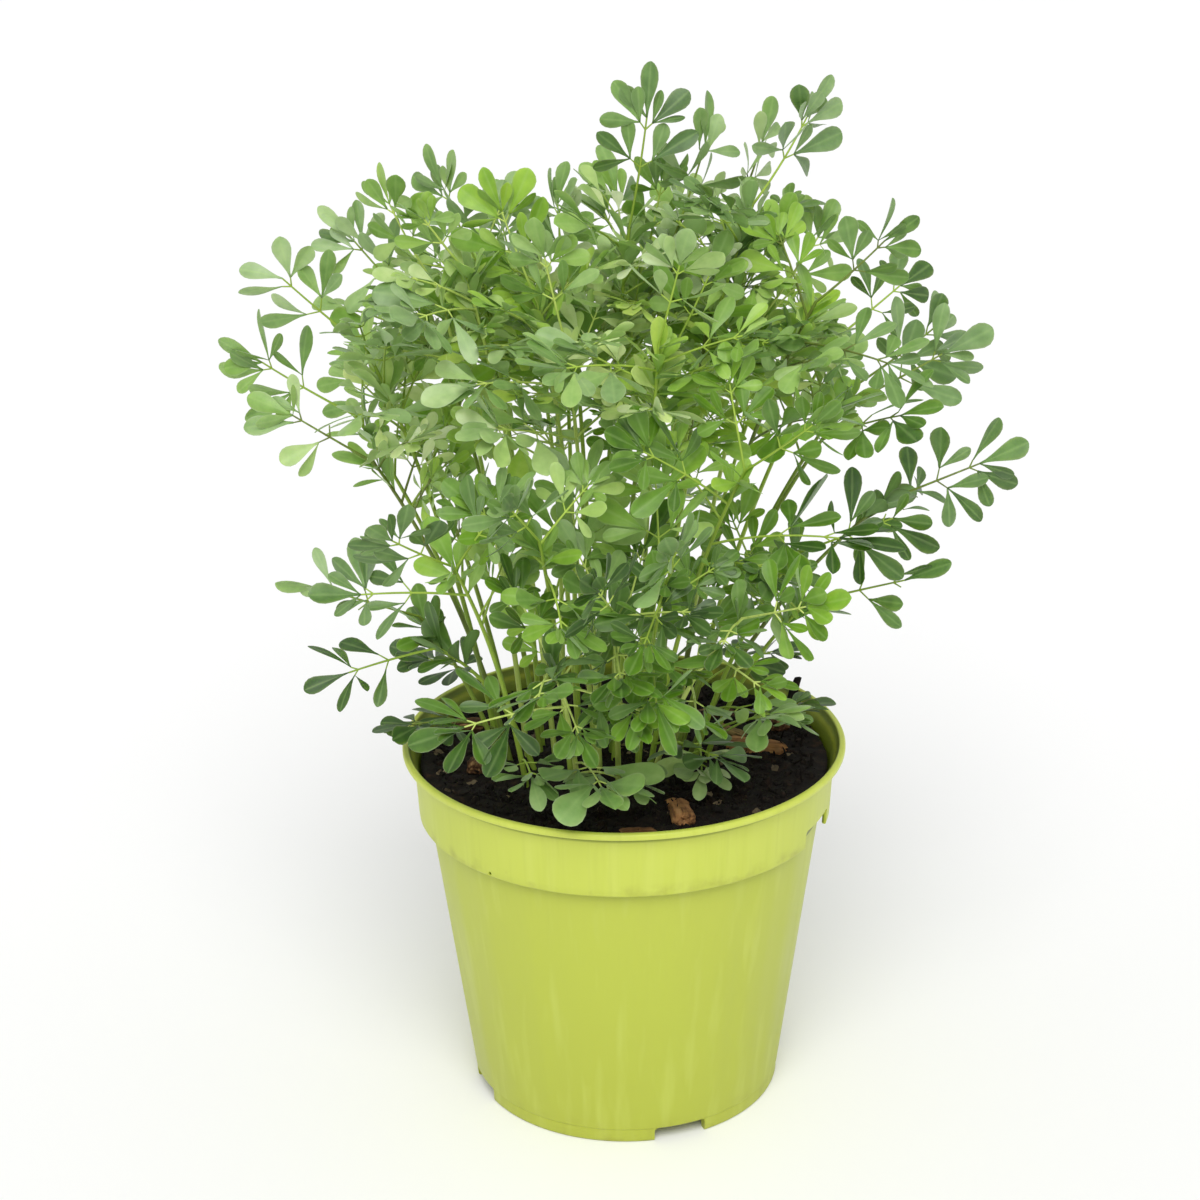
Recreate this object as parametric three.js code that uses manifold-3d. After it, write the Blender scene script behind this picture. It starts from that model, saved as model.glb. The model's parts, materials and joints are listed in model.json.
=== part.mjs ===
// A potted rue: a bush of thin leafy stems in a lime green nursery pot, which is filled with
// dark peat compost that has bark chips on it. Millimetres, +Z up. The origin is on the pot's
// axis, on the ground, and -Y is the front.

import * as THREE from "three";
import { mergeVertices } from "three/addons/utils/BufferGeometryUtils.js";
import Module from "manifold-3d";

const wasm = await Module();
wasm.setup();

// Driving sizes of the pot
const POT_HEIGHT = 118;
const POT_SIDES = 36;
const LIP_RADIUS = 70;
const LIP_HEIGHT = 3;
const MOUTH_RADIUS = 67.6;
const COLLAR_TOP_RADIUS = 66.6;
const COLLAR_FOOT_RADIUS = 65.3;
const COLLAR_FOOT_HEIGHT = 95;
const SKIRT_WALL = 1.3;
const SKIRT_HOLLOW_TOP = 103;
const BODY_TOP_RADIUS = 61.8;
const FOOT_RADIUS = 49.5;
const FOOT_RING_WIDTH = 3;
const FLOOR_UNDERSIDE = 5;
const FLOOR_THICKNESS = 1.8;
const WALL = 1.5;
const FOOT_NOTCH = { width: 17, height: 4.6, direction: -70, count: 4 };
const SKIRT_NOTCH = { width: 19, height: 6, direction: -23.5 };
const DRAIN_HOLE = { radius: 4.5, ring: 36, sides: 8, count: 4 };

// Driving sizes of the compost and of the bark chips on it
const FIT_GAP = 0.35;
const SOIL_TOP = 111;
const SOIL_SIDES = 24;
const SOIL_RELIEF = 0.8;
const CHIP_SINK = 1.6;

// Driving sizes of the plants
const ROOT_CENTRE = { x: -9, y: 5 };
const ROOT_SHARE = 0.30;
const ROOT_SCATTER = 14;
const ROOT_WIDENING = 0.05;
const ROOT_DEPTH = 11;
const BEND_SHARE = 0.28;
const CREST_SHARE = 0.62;
const LEAST_CREST = 58;
const STEM_SIDES = 4;
const STEM_STEPS = 4;
const STEM_FOOT_RADIUS = 1.25;
const STEM_TIP_RADIUS = 0.7;
const BLADE_THICKNESS = 0.8;
const SMALLEST_FACET = 0.08;
const RIB_HALF_WIDTH = 0.7;
const GOLDEN_ANGLE = 137.5 * Math.PI / 180;

// Where each outer spray ends, from the tall one and round the bush: the tip's place, and how
// many side fronds the stem has
const SPRAYS = [
  [9, -6, 327, 2], [54, 0, 326, 2], [57, 18, 288, 2], [75, -12, 292, 3], [95, 0, 262, 1],
  [95, -6, 260, 1], [109, -20, 225, 1], [84, -34, 195, 1], [76, -40, 221, 0], [-65, -5, 303, 1],
  [-56, -12, 309, 3], [-48, 12, 303, 2], [-32, -8, 301, 3], [-18, 12, 296, 2], [-95, -12, 287, 2],
  [-75, 6, 293, 2], [-106, 2, 258, 1], [-95, -24, 246, 0], [-90, -24, 193, 0], [-86, -40, 168, 0],
  [-60, -80, 226, 1], [-26, -97, 187, 3], [18, -93, 223, 3], [50, -74, 256, 2], [89, 50, 265, 0],
  [62, 76, 248, 1], [24, 88, 226, 2], [-22, 86, 252, 2], [25, 8, 317, 1], [-86, 56, 238, 1],
  [42, 14, 315, 1], [-28, -82, 235, 2], [51, -84, 205, 0], [-3, -95, 209, 2],
];

// The upright stems in the middle stand by a spiral rule
const MIDDLE_STEMS = {
  count: 8, spread: 50, shift: 4, height: 298, slope: 0.22, uneven: 18, rows: 2,
};

// Low fronds that hang over the compost: which stem they grow on, direction and length
const LOW_FRONDS = [
  [19, 200, 46], [17, 222, 44], [20, 246, 46], [21, 268, 48], [22, 290, 50], [23, 314, 46],
  [8, 338, 48], [7, 18, 38], [24, 30, 40], [29, 150, 40], [26, 95, 42],
];

// Side fronds of a stem, from the top down: distance from the stem's end, and length
const SIDE_FRONDS = [[10, 44], [27, 50], [47, 54], [74, 56]];
const BARE_SHARE = 0.36;

// One frond, in shares of its length: two pairs of leaflets and an end leaflet
const LEAFLET_PAIRS = [
  { foot: 0.36, head: 0.41, reach: 0.40, angle: 56, width: 0.17 },
  { foot: 0.60, head: 0.65, reach: 0.34, angle: 44, width: 0.165 },
];
const END_LEAFLET = { foot: 0.70, wide: 0.88, halfWidth: 0.085, halfTip: 0.03 };
const PETIOLE_SHARE = 0.30;

// End fronds lean out further than their stem does, per millimetre that it reaches out
const END_LEAN = 0.005;

// How far leaves keep from each other, and how many places each frond may try
const CLEARANCE = 3.3;
const SAMPLE_STEP = 3;
const PLACES_TO_TRY = 30;

const LIP_UNDERSIDE = POT_HEIGHT - LIP_HEIGHT;
const FLOOR_TOP = FLOOR_UNDERSIDE + FLOOR_THICKNESS;

// Small vector helpers on plain [x, y, z] lists
const plus = (a, b, k = 1) => [a[0] + b[0] * k, a[1] + b[1] * k, a[2] + b[2] * k];
const minus = (a, b) => plus(a, b, -1);
const times = (a, k) => [a[0] * k, a[1] * k, a[2] * k];
const dot = (a, b) => a[0] * b[0] + a[1] * b[1] + a[2] * b[2];
const size = (a) => Math.sqrt(dot(a, a));
const unit = (a) => times(a, 1 / size(a));
const cross = (a, b) => [
  a[1] * b[2] - a[2] * b[1],
  a[2] * b[0] - a[0] * b[2],
  a[0] * b[1] - a[1] * b[0],
];
const radians = (degrees) => degrees * Math.PI / 180;

// A repeatable number from 0 to 1 for one choice about one leaf of one stem
function chance(stem, leaf, place, choice) {
  let h = (stem * 7349 + leaf * 911 + place * 131 + choice * 17 + 12345) >>> 0;
  h = Math.imul(h ^ (h >>> 15), 2246822519) >>> 0;
  h = Math.imul(h ^ (h >>> 13), 3266489917) >>> 0;
  return ((h ^ (h >>> 16)) >>> 0) / 4294967296;
}

// Turns a closed three.js geometry into a solid that can be joined and cut
function solidOf(geometry) {
  const bare = geometry.clone();
  bare.deleteAttribute("normal");
  bare.deleteAttribute("uv");
  const merged = mergeVertices(bare, 1e-4);
  const index = merged.index.array;
  const corners = [];
  for (let i = 0; i < index.length; i += 3) {
    const [a, b, c] = index.slice(i, i + 3);
    if (a !== b && b !== c && c !== a) corners.push(a, b, c);
  }
  return new wasm.Manifold(new wasm.Mesh({
    numProp: 3,
    vertProperties: new Float32Array(merged.attributes.position.array),
    triVerts: new Uint32Array(corners),
  }));
}

// Turns a solid back into a geometry
function geometryOf(solid) {
  const mesh = solid.getMesh();
  const geometry = new THREE.BufferGeometry();
  geometry.setAttribute("position", new THREE.BufferAttribute(mesh.vertProperties, 3));
  geometry.setIndex(new THREE.BufferAttribute(mesh.triVerts, 1));
  geometry.computeVertexNormals();
  return geometry;
}

// Joining and cutting leaves facets too thin to matter: this closes them up
const withoutSlivers = (solid) => solid.asOriginal().simplify(SMALLEST_FACET);

// A solid turned about +Z from a closed profile of [radius, height] points
function turned(profile, sides) {
  const points = profile.map(([r, z]) => new THREE.Vector2(r, z));
  return new THREE.LatheGeometry([...points, points[0]], sides).rotateX(Math.PI / 2);
}

// Places a tool that was made at the origin on a ring about +Z, facing outwards
function onRing(geometry, radius, height, degrees) {
  return geometry.translate(radius, 0, height).rotateZ(radians(degrees));
}

function makePot() {
  const hollowRadius = COLLAR_FOOT_RADIUS - SKIRT_WALL;
  const profile = [
    [0, FLOOR_UNDERSIDE],
    [FOOT_RADIUS - FOOT_RING_WIDTH, FLOOR_UNDERSIDE],
    [FOOT_RADIUS - FOOT_RING_WIDTH, 0],
    [FOOT_RADIUS - 0.8, 0],
    [FOOT_RADIUS, 0.8],
    [BODY_TOP_RADIUS + 0.6, SKIRT_HOLLOW_TOP],
    [hollowRadius + 0.4, SKIRT_HOLLOW_TOP],
    [hollowRadius, COLLAR_FOOT_HEIGHT],
    [COLLAR_FOOT_RADIUS, COLLAR_FOOT_HEIGHT],
    [COLLAR_TOP_RADIUS, LIP_UNDERSIDE],
    [LIP_RADIUS, LIP_UNDERSIDE + 0.3],
    [LIP_RADIUS, POT_HEIGHT - 0.5],
    [LIP_RADIUS - 0.6, POT_HEIGHT],
    [MOUTH_RADIUS, POT_HEIGHT],
    [COLLAR_TOP_RADIUS - WALL, LIP_UNDERSIDE - 2],
    [COLLAR_FOOT_RADIUS - WALL - 0.4, SKIRT_HOLLOW_TOP + 3],
    [BODY_TOP_RADIUS - WALL, SKIRT_HOLLOW_TOP],
    [FOOT_RADIUS - WALL, FLOOR_TOP],
    [0, FLOOR_TOP],
  ];
  let pot = solidOf(turned(profile, POT_SIDES));
  for (let i = 0; i < FOOT_NOTCH.count; i += 1) {
    const notch = new THREE.BoxGeometry(4 * FOOT_RING_WIDTH, FOOT_NOTCH.width, 2 * FOOT_NOTCH.height);
    const direction = FOOT_NOTCH.direction + 360 * i / FOOT_NOTCH.count;
    pot = pot.subtract(solidOf(onRing(notch, FOOT_RADIUS, 0, direction)));
  }
  for (let i = 0; i < DRAIN_HOLE.count; i += 1) {
    const hole = new THREE.CylinderGeometry(
      DRAIN_HOLE.radius, DRAIN_HOLE.radius, 4 * FLOOR_THICKNESS, DRAIN_HOLE.sides,
    ).rotateX(Math.PI / 2);
    const direction = FOOT_NOTCH.direction + 360 * (i + 0.5) / DRAIN_HOLE.count;
    pot = pot.subtract(solidOf(onRing(hole, DRAIN_HOLE.ring, FLOOR_UNDERSIDE, direction)));
  }
  const cut = new THREE.BoxGeometry(2 * SKIRT_WALL + 2, SKIRT_NOTCH.width, 2 * SKIRT_NOTCH.height);
  const skirtMiddle = COLLAR_FOOT_RADIUS + 0.2;
  return pot.subtract(solidOf(onRing(cut, skirtMiddle, COLLAR_FOOT_HEIGHT, SKIRT_NOTCH.direction)));
}

// Height of the compost's lumpy surface
function soilHeight(x, y) {
  const lumps = Math.sin(0.13 * x + 1.1) * Math.cos(0.17 * y - 0.4) + 0.6 * Math.sin(0.29 * y + 0.21 * x);
  const rim = Math.min(1, Math.hypot(x, y) / COLLAR_FOOT_RADIUS);
  return SOIL_TOP + 0.8 * (1 - rim * rim) + SOIL_RELIEF * lumps * (1 - rim * rim * rim);
}

function makeSoil() {
  const reach = COLLAR_TOP_RADIUS - WALL - 2.1;
  const profile = [
    [0, FLOOR_TOP + FIT_GAP],
    [FOOT_RADIUS - WALL - 2 * FIT_GAP, FLOOR_TOP + FIT_GAP],
    [BODY_TOP_RADIUS - WALL - 2 * FIT_GAP, SKIRT_HOLLOW_TOP - 0.5],
    [reach, SOIL_TOP],
    [0.78 * reach, SOIL_TOP],
    [0.55 * reach, SOIL_TOP],
    [0.28 * reach, SOIL_TOP],
    [0, SOIL_TOP],
  ];
  const geometry = turned(profile, SOIL_SIDES);
  const at = geometry.attributes.position;
  for (let i = 0; i < at.count; i += 1) {
    if (at.getZ(i) > SOIL_TOP - 0.01) at.setZ(i, soilHeight(at.getX(i), at.getY(i)));
  }
  return solidOf(geometry);
}

// Bark chips: place, length, width, thickness, turn and tilt in degrees
const CHIPS = [
  { at: [42, 4], size: [19, 7, 4.6], turn: -6, tilt: 5, colour: 0x7a4a26 },
  { at: [34, 16], size: [11, 5, 3.6], turn: -32, tilt: 6, colour: 0x5b5630 },
  { at: [30, 30], size: [13, 6, 3.4], turn: 14, tilt: 4, colour: 0x4a3020 },
  { at: [17, -43], size: [17, 7, 4.8], turn: 97, tilt: 8, colour: 0x8a4f28 },
  { at: [4, -55], size: [11, 5, 3.2], turn: 8, tilt: 4, colour: 0x6b4426 },
  { at: [50, 24], size: [12, 9, 5.4], turn: 60, tilt: 10, colour: 0x5a2f1c },
  { at: [-50, 22], size: [12, 8, 4.8], turn: 24, tilt: 8, colour: 0x4f2d1c },
  { at: [-46, -8], size: [9, 6, 4.2], turn: 80, tilt: 6, colour: 0x5c3420 },
];
// Outline of a chip in shares of its length and width, broken off at both ends
const CHIP_OUTLINE = [
  [-0.5, -0.25], [-0.3, -0.5], [0.36, -0.46], [0.5, -0.1], [0.42, 0.42], [-0.1, 0.5], [-0.46, 0.3],
];

function chipGeometry(chip, margin) {
  const [long, wide, thick] = chip.size;
  const shape = new THREE.Shape(CHIP_OUTLINE.map(([u, v]) => new THREE.Vector2(
    u * (long + 2 * margin), v * (wide + 2 * margin),
  )));
  const geometry = new THREE.ExtrudeGeometry(shape, { depth: thick + 2 * margin, bevelEnabled: false });
  const [x, y] = chip.at;
  return geometry
    .translate(0, 0, -margin)
    .rotateY(radians(chip.tilt))
    .rotateZ(radians(chip.turn))
    .translate(x, y, soilHeight(x, y) - CHIP_SINK);
}

// A stem rises from its root along one arc, and leans out to the tip of its spray
function along(stem, t) {
  const s = 1 - t;
  return plus(plus(times(stem.root, s * s), stem.bend, 2 * s * t), stem.tip, t * t);
}
function heading(stem, t) {
  const first = times(minus(stem.bend, stem.root), 2 * (1 - t));
  return unit(plus(first, minus(stem.tip, stem.bend), 2 * t));
}

function stemTips() {
  const middle = [];
  for (let i = 0; i < MIDDLE_STEMS.count; i += 1) {
    const reach = MIDDLE_STEMS.spread * Math.sqrt((i + 0.5) / MIDDLE_STEMS.count);
    const angle = GOLDEN_ANGLE * i + 0.7;
    const drop = MIDDLE_STEMS.slope * reach;
    middle.push([
      reach * Math.cos(angle) + MIDDLE_STEMS.shift,
      reach * Math.sin(angle),
      MIDDLE_STEMS.height - drop + MIDDLE_STEMS.uneven * (chance(90 + i, 0, 0, 1) - 0.5),
      MIDDLE_STEMS.rows,
    ]);
  }
  return [...SPRAYS, ...middle];
}

// The arc of one stem for one place of its root, and where its end frond starts
function stemArc([x, y, z, rows], number, place) {
  const tip = [x, y, z];
  const reach = ROOT_SCATTER * (1 + ROOT_WIDENING * place);
  const scatter = (choice) => reach * (chance(number, 0, place, choice) - 0.5);
  const root = [
    ROOT_CENTRE.x + (x - ROOT_CENTRE.x) * ROOT_SHARE + scatter(11),
    ROOT_CENTRE.y + (y - ROOT_CENTRE.y) * ROOT_SHARE + scatter(12),
    SOIL_TOP,
  ];
  const crest = CREST_SHARE * (tip[2] - SOIL_TOP);
  const leansOut = Math.hypot(tip[0], tip[1]) > 60;
  const bend = [
    root[0] + (tip[0] - root[0]) * BEND_SHARE,
    root[1] + (tip[1] - root[1]) * BEND_SHARE,
    SOIL_TOP + (leansOut ? Math.max(crest, LEAST_CREST) : crest),
  ];
  const stem = { number, root, bend, tip, rows, fronds: [] };
  const steps = 40;
  let total = 0;
  let last = 0;
  for (let i = 0; i < steps; i += 1) {
    last = size(minus(along(stem, (i + 1) / steps), along(stem, i / steps)));
    total += last;
  }
  stem.length = total;
  stem.endFrond = 38 + 8 * chance(number, 0, 0, 5);
  stem.end = 1 - 0.92 * stem.endFrond / (last * steps);
  return stem;
}

// A point of a frond's blade, which droops along its rib and is cupped across it
function onBlade(frond, u, v) {
  const lift = (frond.cup * v * v - frond.droop * u * u) / frond.length;
  return plus(plus(plus(frond.foot, frond.forward, u), frond.side, v), frond.face, lift);
}

// Points of a pair's leaflet from its rib, x along the leaflet and y across it, in shares
function leafletPoint(pair, length, x, y) {
  const c = Math.cos(radians(pair.angle));
  const s = Math.sin(radians(pair.angle));
  const middle = (pair.foot + pair.head) / 2;
  return [(middle + c * x + s * y) * length, (s * x - c * y) * length];
}

// Points spread over a frond's blade, about SAMPLE_STEP apart
function bladeSamples(length) {
  const points = [];
  const ribSteps = Math.floor(length * END_LEAFLET.foot / SAMPLE_STEP);
  for (let i = 0; i <= ribSteps; i += 1) points.push([length * END_LEAFLET.foot * i / ribSteps, 0]);
  for (const pair of LEAFLET_PAIRS) {
    for (const side of [-1, 1]) {
      const steps = Math.floor(pair.reach * length / SAMPLE_STEP);
      for (let i = 1; i <= steps; i += 1) {
        const share = i / steps;
        const edges = share > 0.3 && share < 0.9 ? [-0.35 * pair.width, 0.35 * pair.width] : [0];
        for (const y of edges) {
          const [u, v] = leafletPoint(pair, length, pair.reach * share, y);
          points.push([u, side * v]);
        }
      }
    }
  }
  const endSteps = Math.floor(0.3 * length / SAMPLE_STEP);
  for (let i = 1; i <= endSteps; i += 1) {
    const u = (END_LEAFLET.foot + 0.3 * i / endSteps) * length;
    points.push([u, -0.055 * length], [u, 0.055 * length]);
  }
  return points;
}

// The space that leaves and stems already take, in small cubes
const taken = new Map();
const cube = (point) => point.map((x) => Math.floor(x / CLEARANCE));

function take(point, owner, nearFoot, isStem) {
  const key = cube(point).join();
  if (!taken.has(key)) taken.set(key, []);
  taken.get(key).push({ point, owner, nearFoot, isStem });
}

function isTaken(point, owner, nearFoot) {
  const [cx, cy, cz] = cube(point);
  for (let x = cx - 1; x <= cx + 1; x += 1) {
    for (let y = cy - 1; y <= cy + 1; y += 1) {
      for (let z = cz - 1; z <= cz + 1; z += 1) {
        for (const other of taken.get([x, y, z].join()) ?? []) {
          const joined = other.owner === owner && (nearFoot || other.nearFoot || other.isStem);
          const away = minus(point, other.point);
          if (!joined && dot(away, away) < CLEARANCE * CLEARANCE) return true;
        }
      }
    }
  }
  return false;
}

// Leaves keep above the compost and its chips inside the pot, and above the rim outside it
function meetsPot([x, y, z]) {
  return z < (Math.hypot(x, y) <= 61 ? 118.5 : 126);
}

// One place for a frond on its stem: which way it grows, faces and bends
function frondPlace(stem, leaf, kind, t, fullLength, aim, place) {
  const pick = (choice) => chance(stem.number, leaf, place, choice);
  const grow = heading(stem, t);
  const across = unit(cross(grow, [0, 1, 0]));
  const other = cross(grow, across);
  const swing = place % 2 ? 1 : -1;
  const length = fullLength * (1 - 0.012 * place);
  let forward;
  let droop;
  let face;
  let roll;
  if (kind === "end") {
    const angle = pick(1) * 2 * Math.PI;
    const sideways = plus(times(across, Math.cos(angle)), other, Math.sin(angle));
    const spread = plus(heading(stem, 1), [stem.tip[0], stem.tip[1], 0], END_LEAN);
    forward = unit(plus(spread, sideways, (0.10 + 0.02 * place) * pick(2)));
    droop = 0.10 + 0.12 * pick(3);
    const outwards = unit([stem.tip[0], stem.tip[1], 1]);
    face = plus([0.4 * (pick(4) - 0.5), -0.6, 0.5], outwards, 0.7);
    roll = 0.5 * (pick(6) - 0.5);
  } else if (kind === "low") {
    const angle = radians(aim) + 0.06 * place * swing;
    forward = unit([Math.cos(angle), Math.sin(angle), 0.42 + 0.3 * pick(2)]);
    droop = 0.42 + 0.1 * pick(3);
    face = [0, 0, 1];
    roll = 0.4 * (pick(6) - 0.5);
  } else {
    const angle = GOLDEN_ANGLE * leaf + 2.4 * stem.number + 0.42 * Math.floor((place + 1) / 2) * swing;
    const lean = radians(40 + 22 * pick(2));
    const sideways = plus(times(across, Math.cos(angle)), other, Math.sin(angle));
    forward = unit(plus(times(grow, Math.cos(lean)), sideways, Math.sin(lean)));
    droop = 0.16 + 0.16 * pick(3);
    face = plus(unit([0, -0.5, 1]), grow, 0.3);
    roll = 0.9 * (pick(6) - 0.5);
  }
  if (kind !== "low" && forward[2] < -0.2) return null;
  const upright = minus(face, times(forward, dot(face, forward)));
  if (size(upright) < 0.15) return null;
  const level = unit(upright);
  const side = plus(times(cross(level, forward), Math.cos(roll)), level, Math.sin(roll));
  return {
    kind, length, forward, droop, side,
    face: cross(forward, side),
    foot: along(stem, t),
    cup: 0.5 * (pick(7) - 0.5),
  };
}

// Tries places for a frond until one is clear of the pot, the stems and the other fronds
function growFrond(stem, leaf, kind, t, fullLength, aim = 0) {
  for (let place = 0; place < PLACES_TO_TRY; place += 1) {
    const frond = frondPlace(stem, leaf, kind, t, fullLength, aim, place);
    if (!frond) continue;
    const points = bladeSamples(frond.length).map(([u, v]) => ({
      point: onBlade(frond, u, v),
      nearFoot: u < PETIOLE_SHARE * frond.length,
    }));
    if (points.some(({ point, nearFoot }) => meetsPot(point) || isTaken(point, stem.number, nearFoot))) {
      continue;
    }
    for (const { point, nearFoot } of points) take(point, stem.number, nearFoot, false);
    stem.fronds.push(frond);
    return;
  }
}

// A root that lies under a bark chip, or closer to one than the clearance
const meetsChip = ([x, y]) => CHIPS.some(({ at, size: [long] }) => (
  Math.hypot(x - at[0], y - at[1]) < long / 2 + CLEARANCE
));

// Tries places for the root of a stem until the stem is clear of the chips and other stems
function planStem(spray, number) {
  for (let place = 0; place < PLACES_TO_TRY; place += 1) {
    const stem = stemArc(spray, number, place);
    if (meetsChip(stem.root)) continue;
    const steps = Math.floor(stem.length * stem.end / SAMPLE_STEP);
    const points = [];
    for (let i = 0; i <= steps; i += 1) points.push(along(stem, stem.end * i / steps));
    if (points.some((point) => isTaken(point, number, false))) continue;
    for (const point of points) take(point, number, false, true);
    return stem;
  }
  throw new Error(`no clear place for stem ${number}`);
}

function planPlants() {
  const stems = stemTips().map(planStem);
  for (const stem of stems) growFrond(stem, 0, "end", stem.end, stem.endFrond);
  for (const [number, aim, length] of LOW_FRONDS) {
    growFrond(stems[number], 9, "low", 0.07, length, aim);
  }
  SIDE_FRONDS.forEach(([back, length], i) => {
    for (const stem of stems) {
      const leaf = i + 1;
      const t = stem.end - (back + 6 * chance(stem.number, leaf, 0, 8)) / stem.length;
      const fullLength = length + 6 * chance(stem.number, leaf, 0, 9);
      if (t >= BARE_SHARE && i < stem.rows) growFrond(stem, leaf, "side", t, fullLength);
    }
  });
  return stems;
}

// Half of a frond's outline, from its foot to its tip
function halfOutline(length) {
  const points = [[0, RIB_HALF_WIDTH]];
  for (const pair of LEAFLET_PAIRS) {
    points.push(
      [pair.foot * length, RIB_HALF_WIDTH],
      leafletPoint(pair, length, 0.70 * pair.reach, -pair.width / 2),
      leafletPoint(pair, length, pair.reach, 0),
      leafletPoint(pair, length, 0.74 * pair.reach, pair.width / 2),
      [pair.head * length, RIB_HALF_WIDTH],
    );
  }
  points.push(
    [END_LEAFLET.wide * length, END_LEAFLET.halfWidth * length],
    [length, END_LEAFLET.halfTip * length],
  );
  return points;
}

// Facets of a half blade, by the numbers of its outline points: a leaflet is a fan of three
const PAIR_FEET = [1, 6];
const RIB_POINTS = [0, 1, 5, 6, 10, 11, 12];

function bladeFacets(count) {
  const mirror = (i) => 2 * count - 1 - i;
  const facets = [];
  for (const f of PAIR_FEET) {
    for (const [a, b, c] of [[f, f + 1, f + 4], [f + 1, f + 3, f + 4], [f + 1, f + 2, f + 3]]) {
      facets.push([a, c, b], [mirror(a), mirror(b), mirror(c)]);
    }
  }
  for (let i = 0; i + 1 < RIB_POINTS.length; i += 1) {
    const [a, b] = [RIB_POINTS[i], RIB_POINTS[i + 1]];
    facets.push([a, mirror(b), b], [a, mirror(a), mirror(b)]);
  }
  return facets;
}

function frondSolid(frond) {
  const half = halfOutline(frond.length);
  const mirrored = half.map(([u, v]) => [u, -v]).reverse();
  const outline = [...half, ...mirrored];
  const facets = bladeFacets(half.length);
  const places = [];
  for (const offset of [BLADE_THICKNESS / 2, -BLADE_THICKNESS / 2]) {
    for (const [u, v] of outline) places.push(...plus(onBlade(frond, u, v), frond.face, offset));
  }
  const count = outline.length;
  const corners = [];
  for (const [a, b, c] of facets) corners.push(a, b, c, a + count, c + count, b + count);
  for (let i = 0; i < count; i += 1) {
    const next = (i + 1) % count;
    corners.push(i, next, next + count, i, next + count, i + count);
  }
  const geometry = new THREE.BufferGeometry();
  geometry.setAttribute("position", new THREE.Float32BufferAttribute(places, 3));
  geometry.setIndex(corners);
  return solidOf(geometry);
}

// A tube with flat ends through a list of points, each with its own radius
function tube(points, radii, sides) {
  const places = [];
  const corners = [];
  points.forEach((point, ring) => {
    const before = points[Math.max(ring - 1, 0)];
    const after = points[Math.min(ring + 1, points.length - 1)];
    const grow = unit(minus(after, before));
    const across = unit(cross(grow, [0, 1, 0]));
    const other = cross(grow, across);
    for (let i = 0; i < sides; i += 1) {
      const angle = 2 * Math.PI * (i + 0.5) / sides;
      const outwards = plus(times(across, Math.cos(angle)), other, Math.sin(angle));
      places.push(...plus(point, outwards, radii[ring]));
      if (ring === 0) continue;
      const [a, b] = [(ring - 1) * sides + i, (ring - 1) * sides + (i + 1) % sides];
      corners.push(a, b, b + sides, a, b + sides, a + sides);
    }
  });
  const top = (points.length - 1) * sides;
  for (let i = 1; i + 1 < sides; i += 1) corners.push(0, i + 1, i, top, top + i, top + i + 1);
  const geometry = new THREE.BufferGeometry();
  geometry.setAttribute("position", new THREE.Float32BufferAttribute(places, 3));
  geometry.setIndex(corners);
  return solidOf(geometry);
}

function stemSolid(stem) {
  const points = [plus(stem.root, [0, 0, -ROOT_DEPTH]), plus(stem.root, [0, 0, 2])];
  const radii = [STEM_FOOT_RADIUS, STEM_FOOT_RADIUS];
  for (let i = 1; i <= STEM_STEPS; i += 1) {
    const share = i / STEM_STEPS;
    points.push(along(stem, stem.end * share));
    radii.push(STEM_FOOT_RADIUS + (STEM_TIP_RADIUS - STEM_FOOT_RADIUS) * share);
  }
  return tube(points, radii, STEM_SIDES);
}

// The plain hole in the compost that a stem stands in
function stemHole(stem) {
  const bottom = plus(stem.root, [0, 0, -ROOT_DEPTH - FIT_GAP]);
  const top = plus(stem.root, [0, 0, 6]);
  const radius = STEM_FOOT_RADIUS + 1.6 * FIT_GAP;
  return tube([bottom, top], [radius, radius], STEM_SIDES);
}

const COLOURS = {
  pot: 0xc8d25c,
  soil: 0x1e1610,
  youngLeaf: 0x7fa85a,
  leaf: 0x5f8a5c,
};

function meshOf(name, solid, colour, roughness) {
  const material = new THREE.MeshStandardMaterial({ color: colour, roughness, metalness: 0 });
  const mesh = new THREE.Mesh(geometryOf(solid), material);
  mesh.name = name;
  return mesh;
}

const twoDigits = (number) => String(number).padStart(2, "0");

const potted = new THREE.Group();
potted.name = "potted_rue";
potted.add(meshOf("pot", makePot(), COLOURS.pot, 0.42));

const stems = planPlants();
let soil = makeSoil();
for (const stem of stems) soil = soil.subtract(stemHole(stem));
for (const chip of CHIPS) soil = soil.subtract(solidOf(chipGeometry(chip, FIT_GAP)));
potted.add(meshOf("soil", withoutSlivers(soil), COLOURS.soil, 0.95));

CHIPS.forEach((chip, i) => {
  const solid = solidOf(chipGeometry(chip, 0));
  potted.add(meshOf(`bark_chip_${twoDigits(i + 1)}`, solid, chip.colour, 0.85));
});

stems.forEach((stem, i) => {
  const parts = [stemSolid(stem), ...stem.fronds.map(frondSolid)];
  const colour = i % 3 === 0 ? COLOURS.youngLeaf : COLOURS.leaf;
  const solid = withoutSlivers(wasm.Manifold.union(parts));
  potted.add(meshOf(`leafy_stem_${twoDigits(i + 1)}`, solid, colour, 0.6));
});

export default potted;
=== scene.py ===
import json
from math import cos, floor, hypot, pi, radians, sin, sqrt
import bpy
from mathutils import Matrix, Vector, noise

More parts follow.
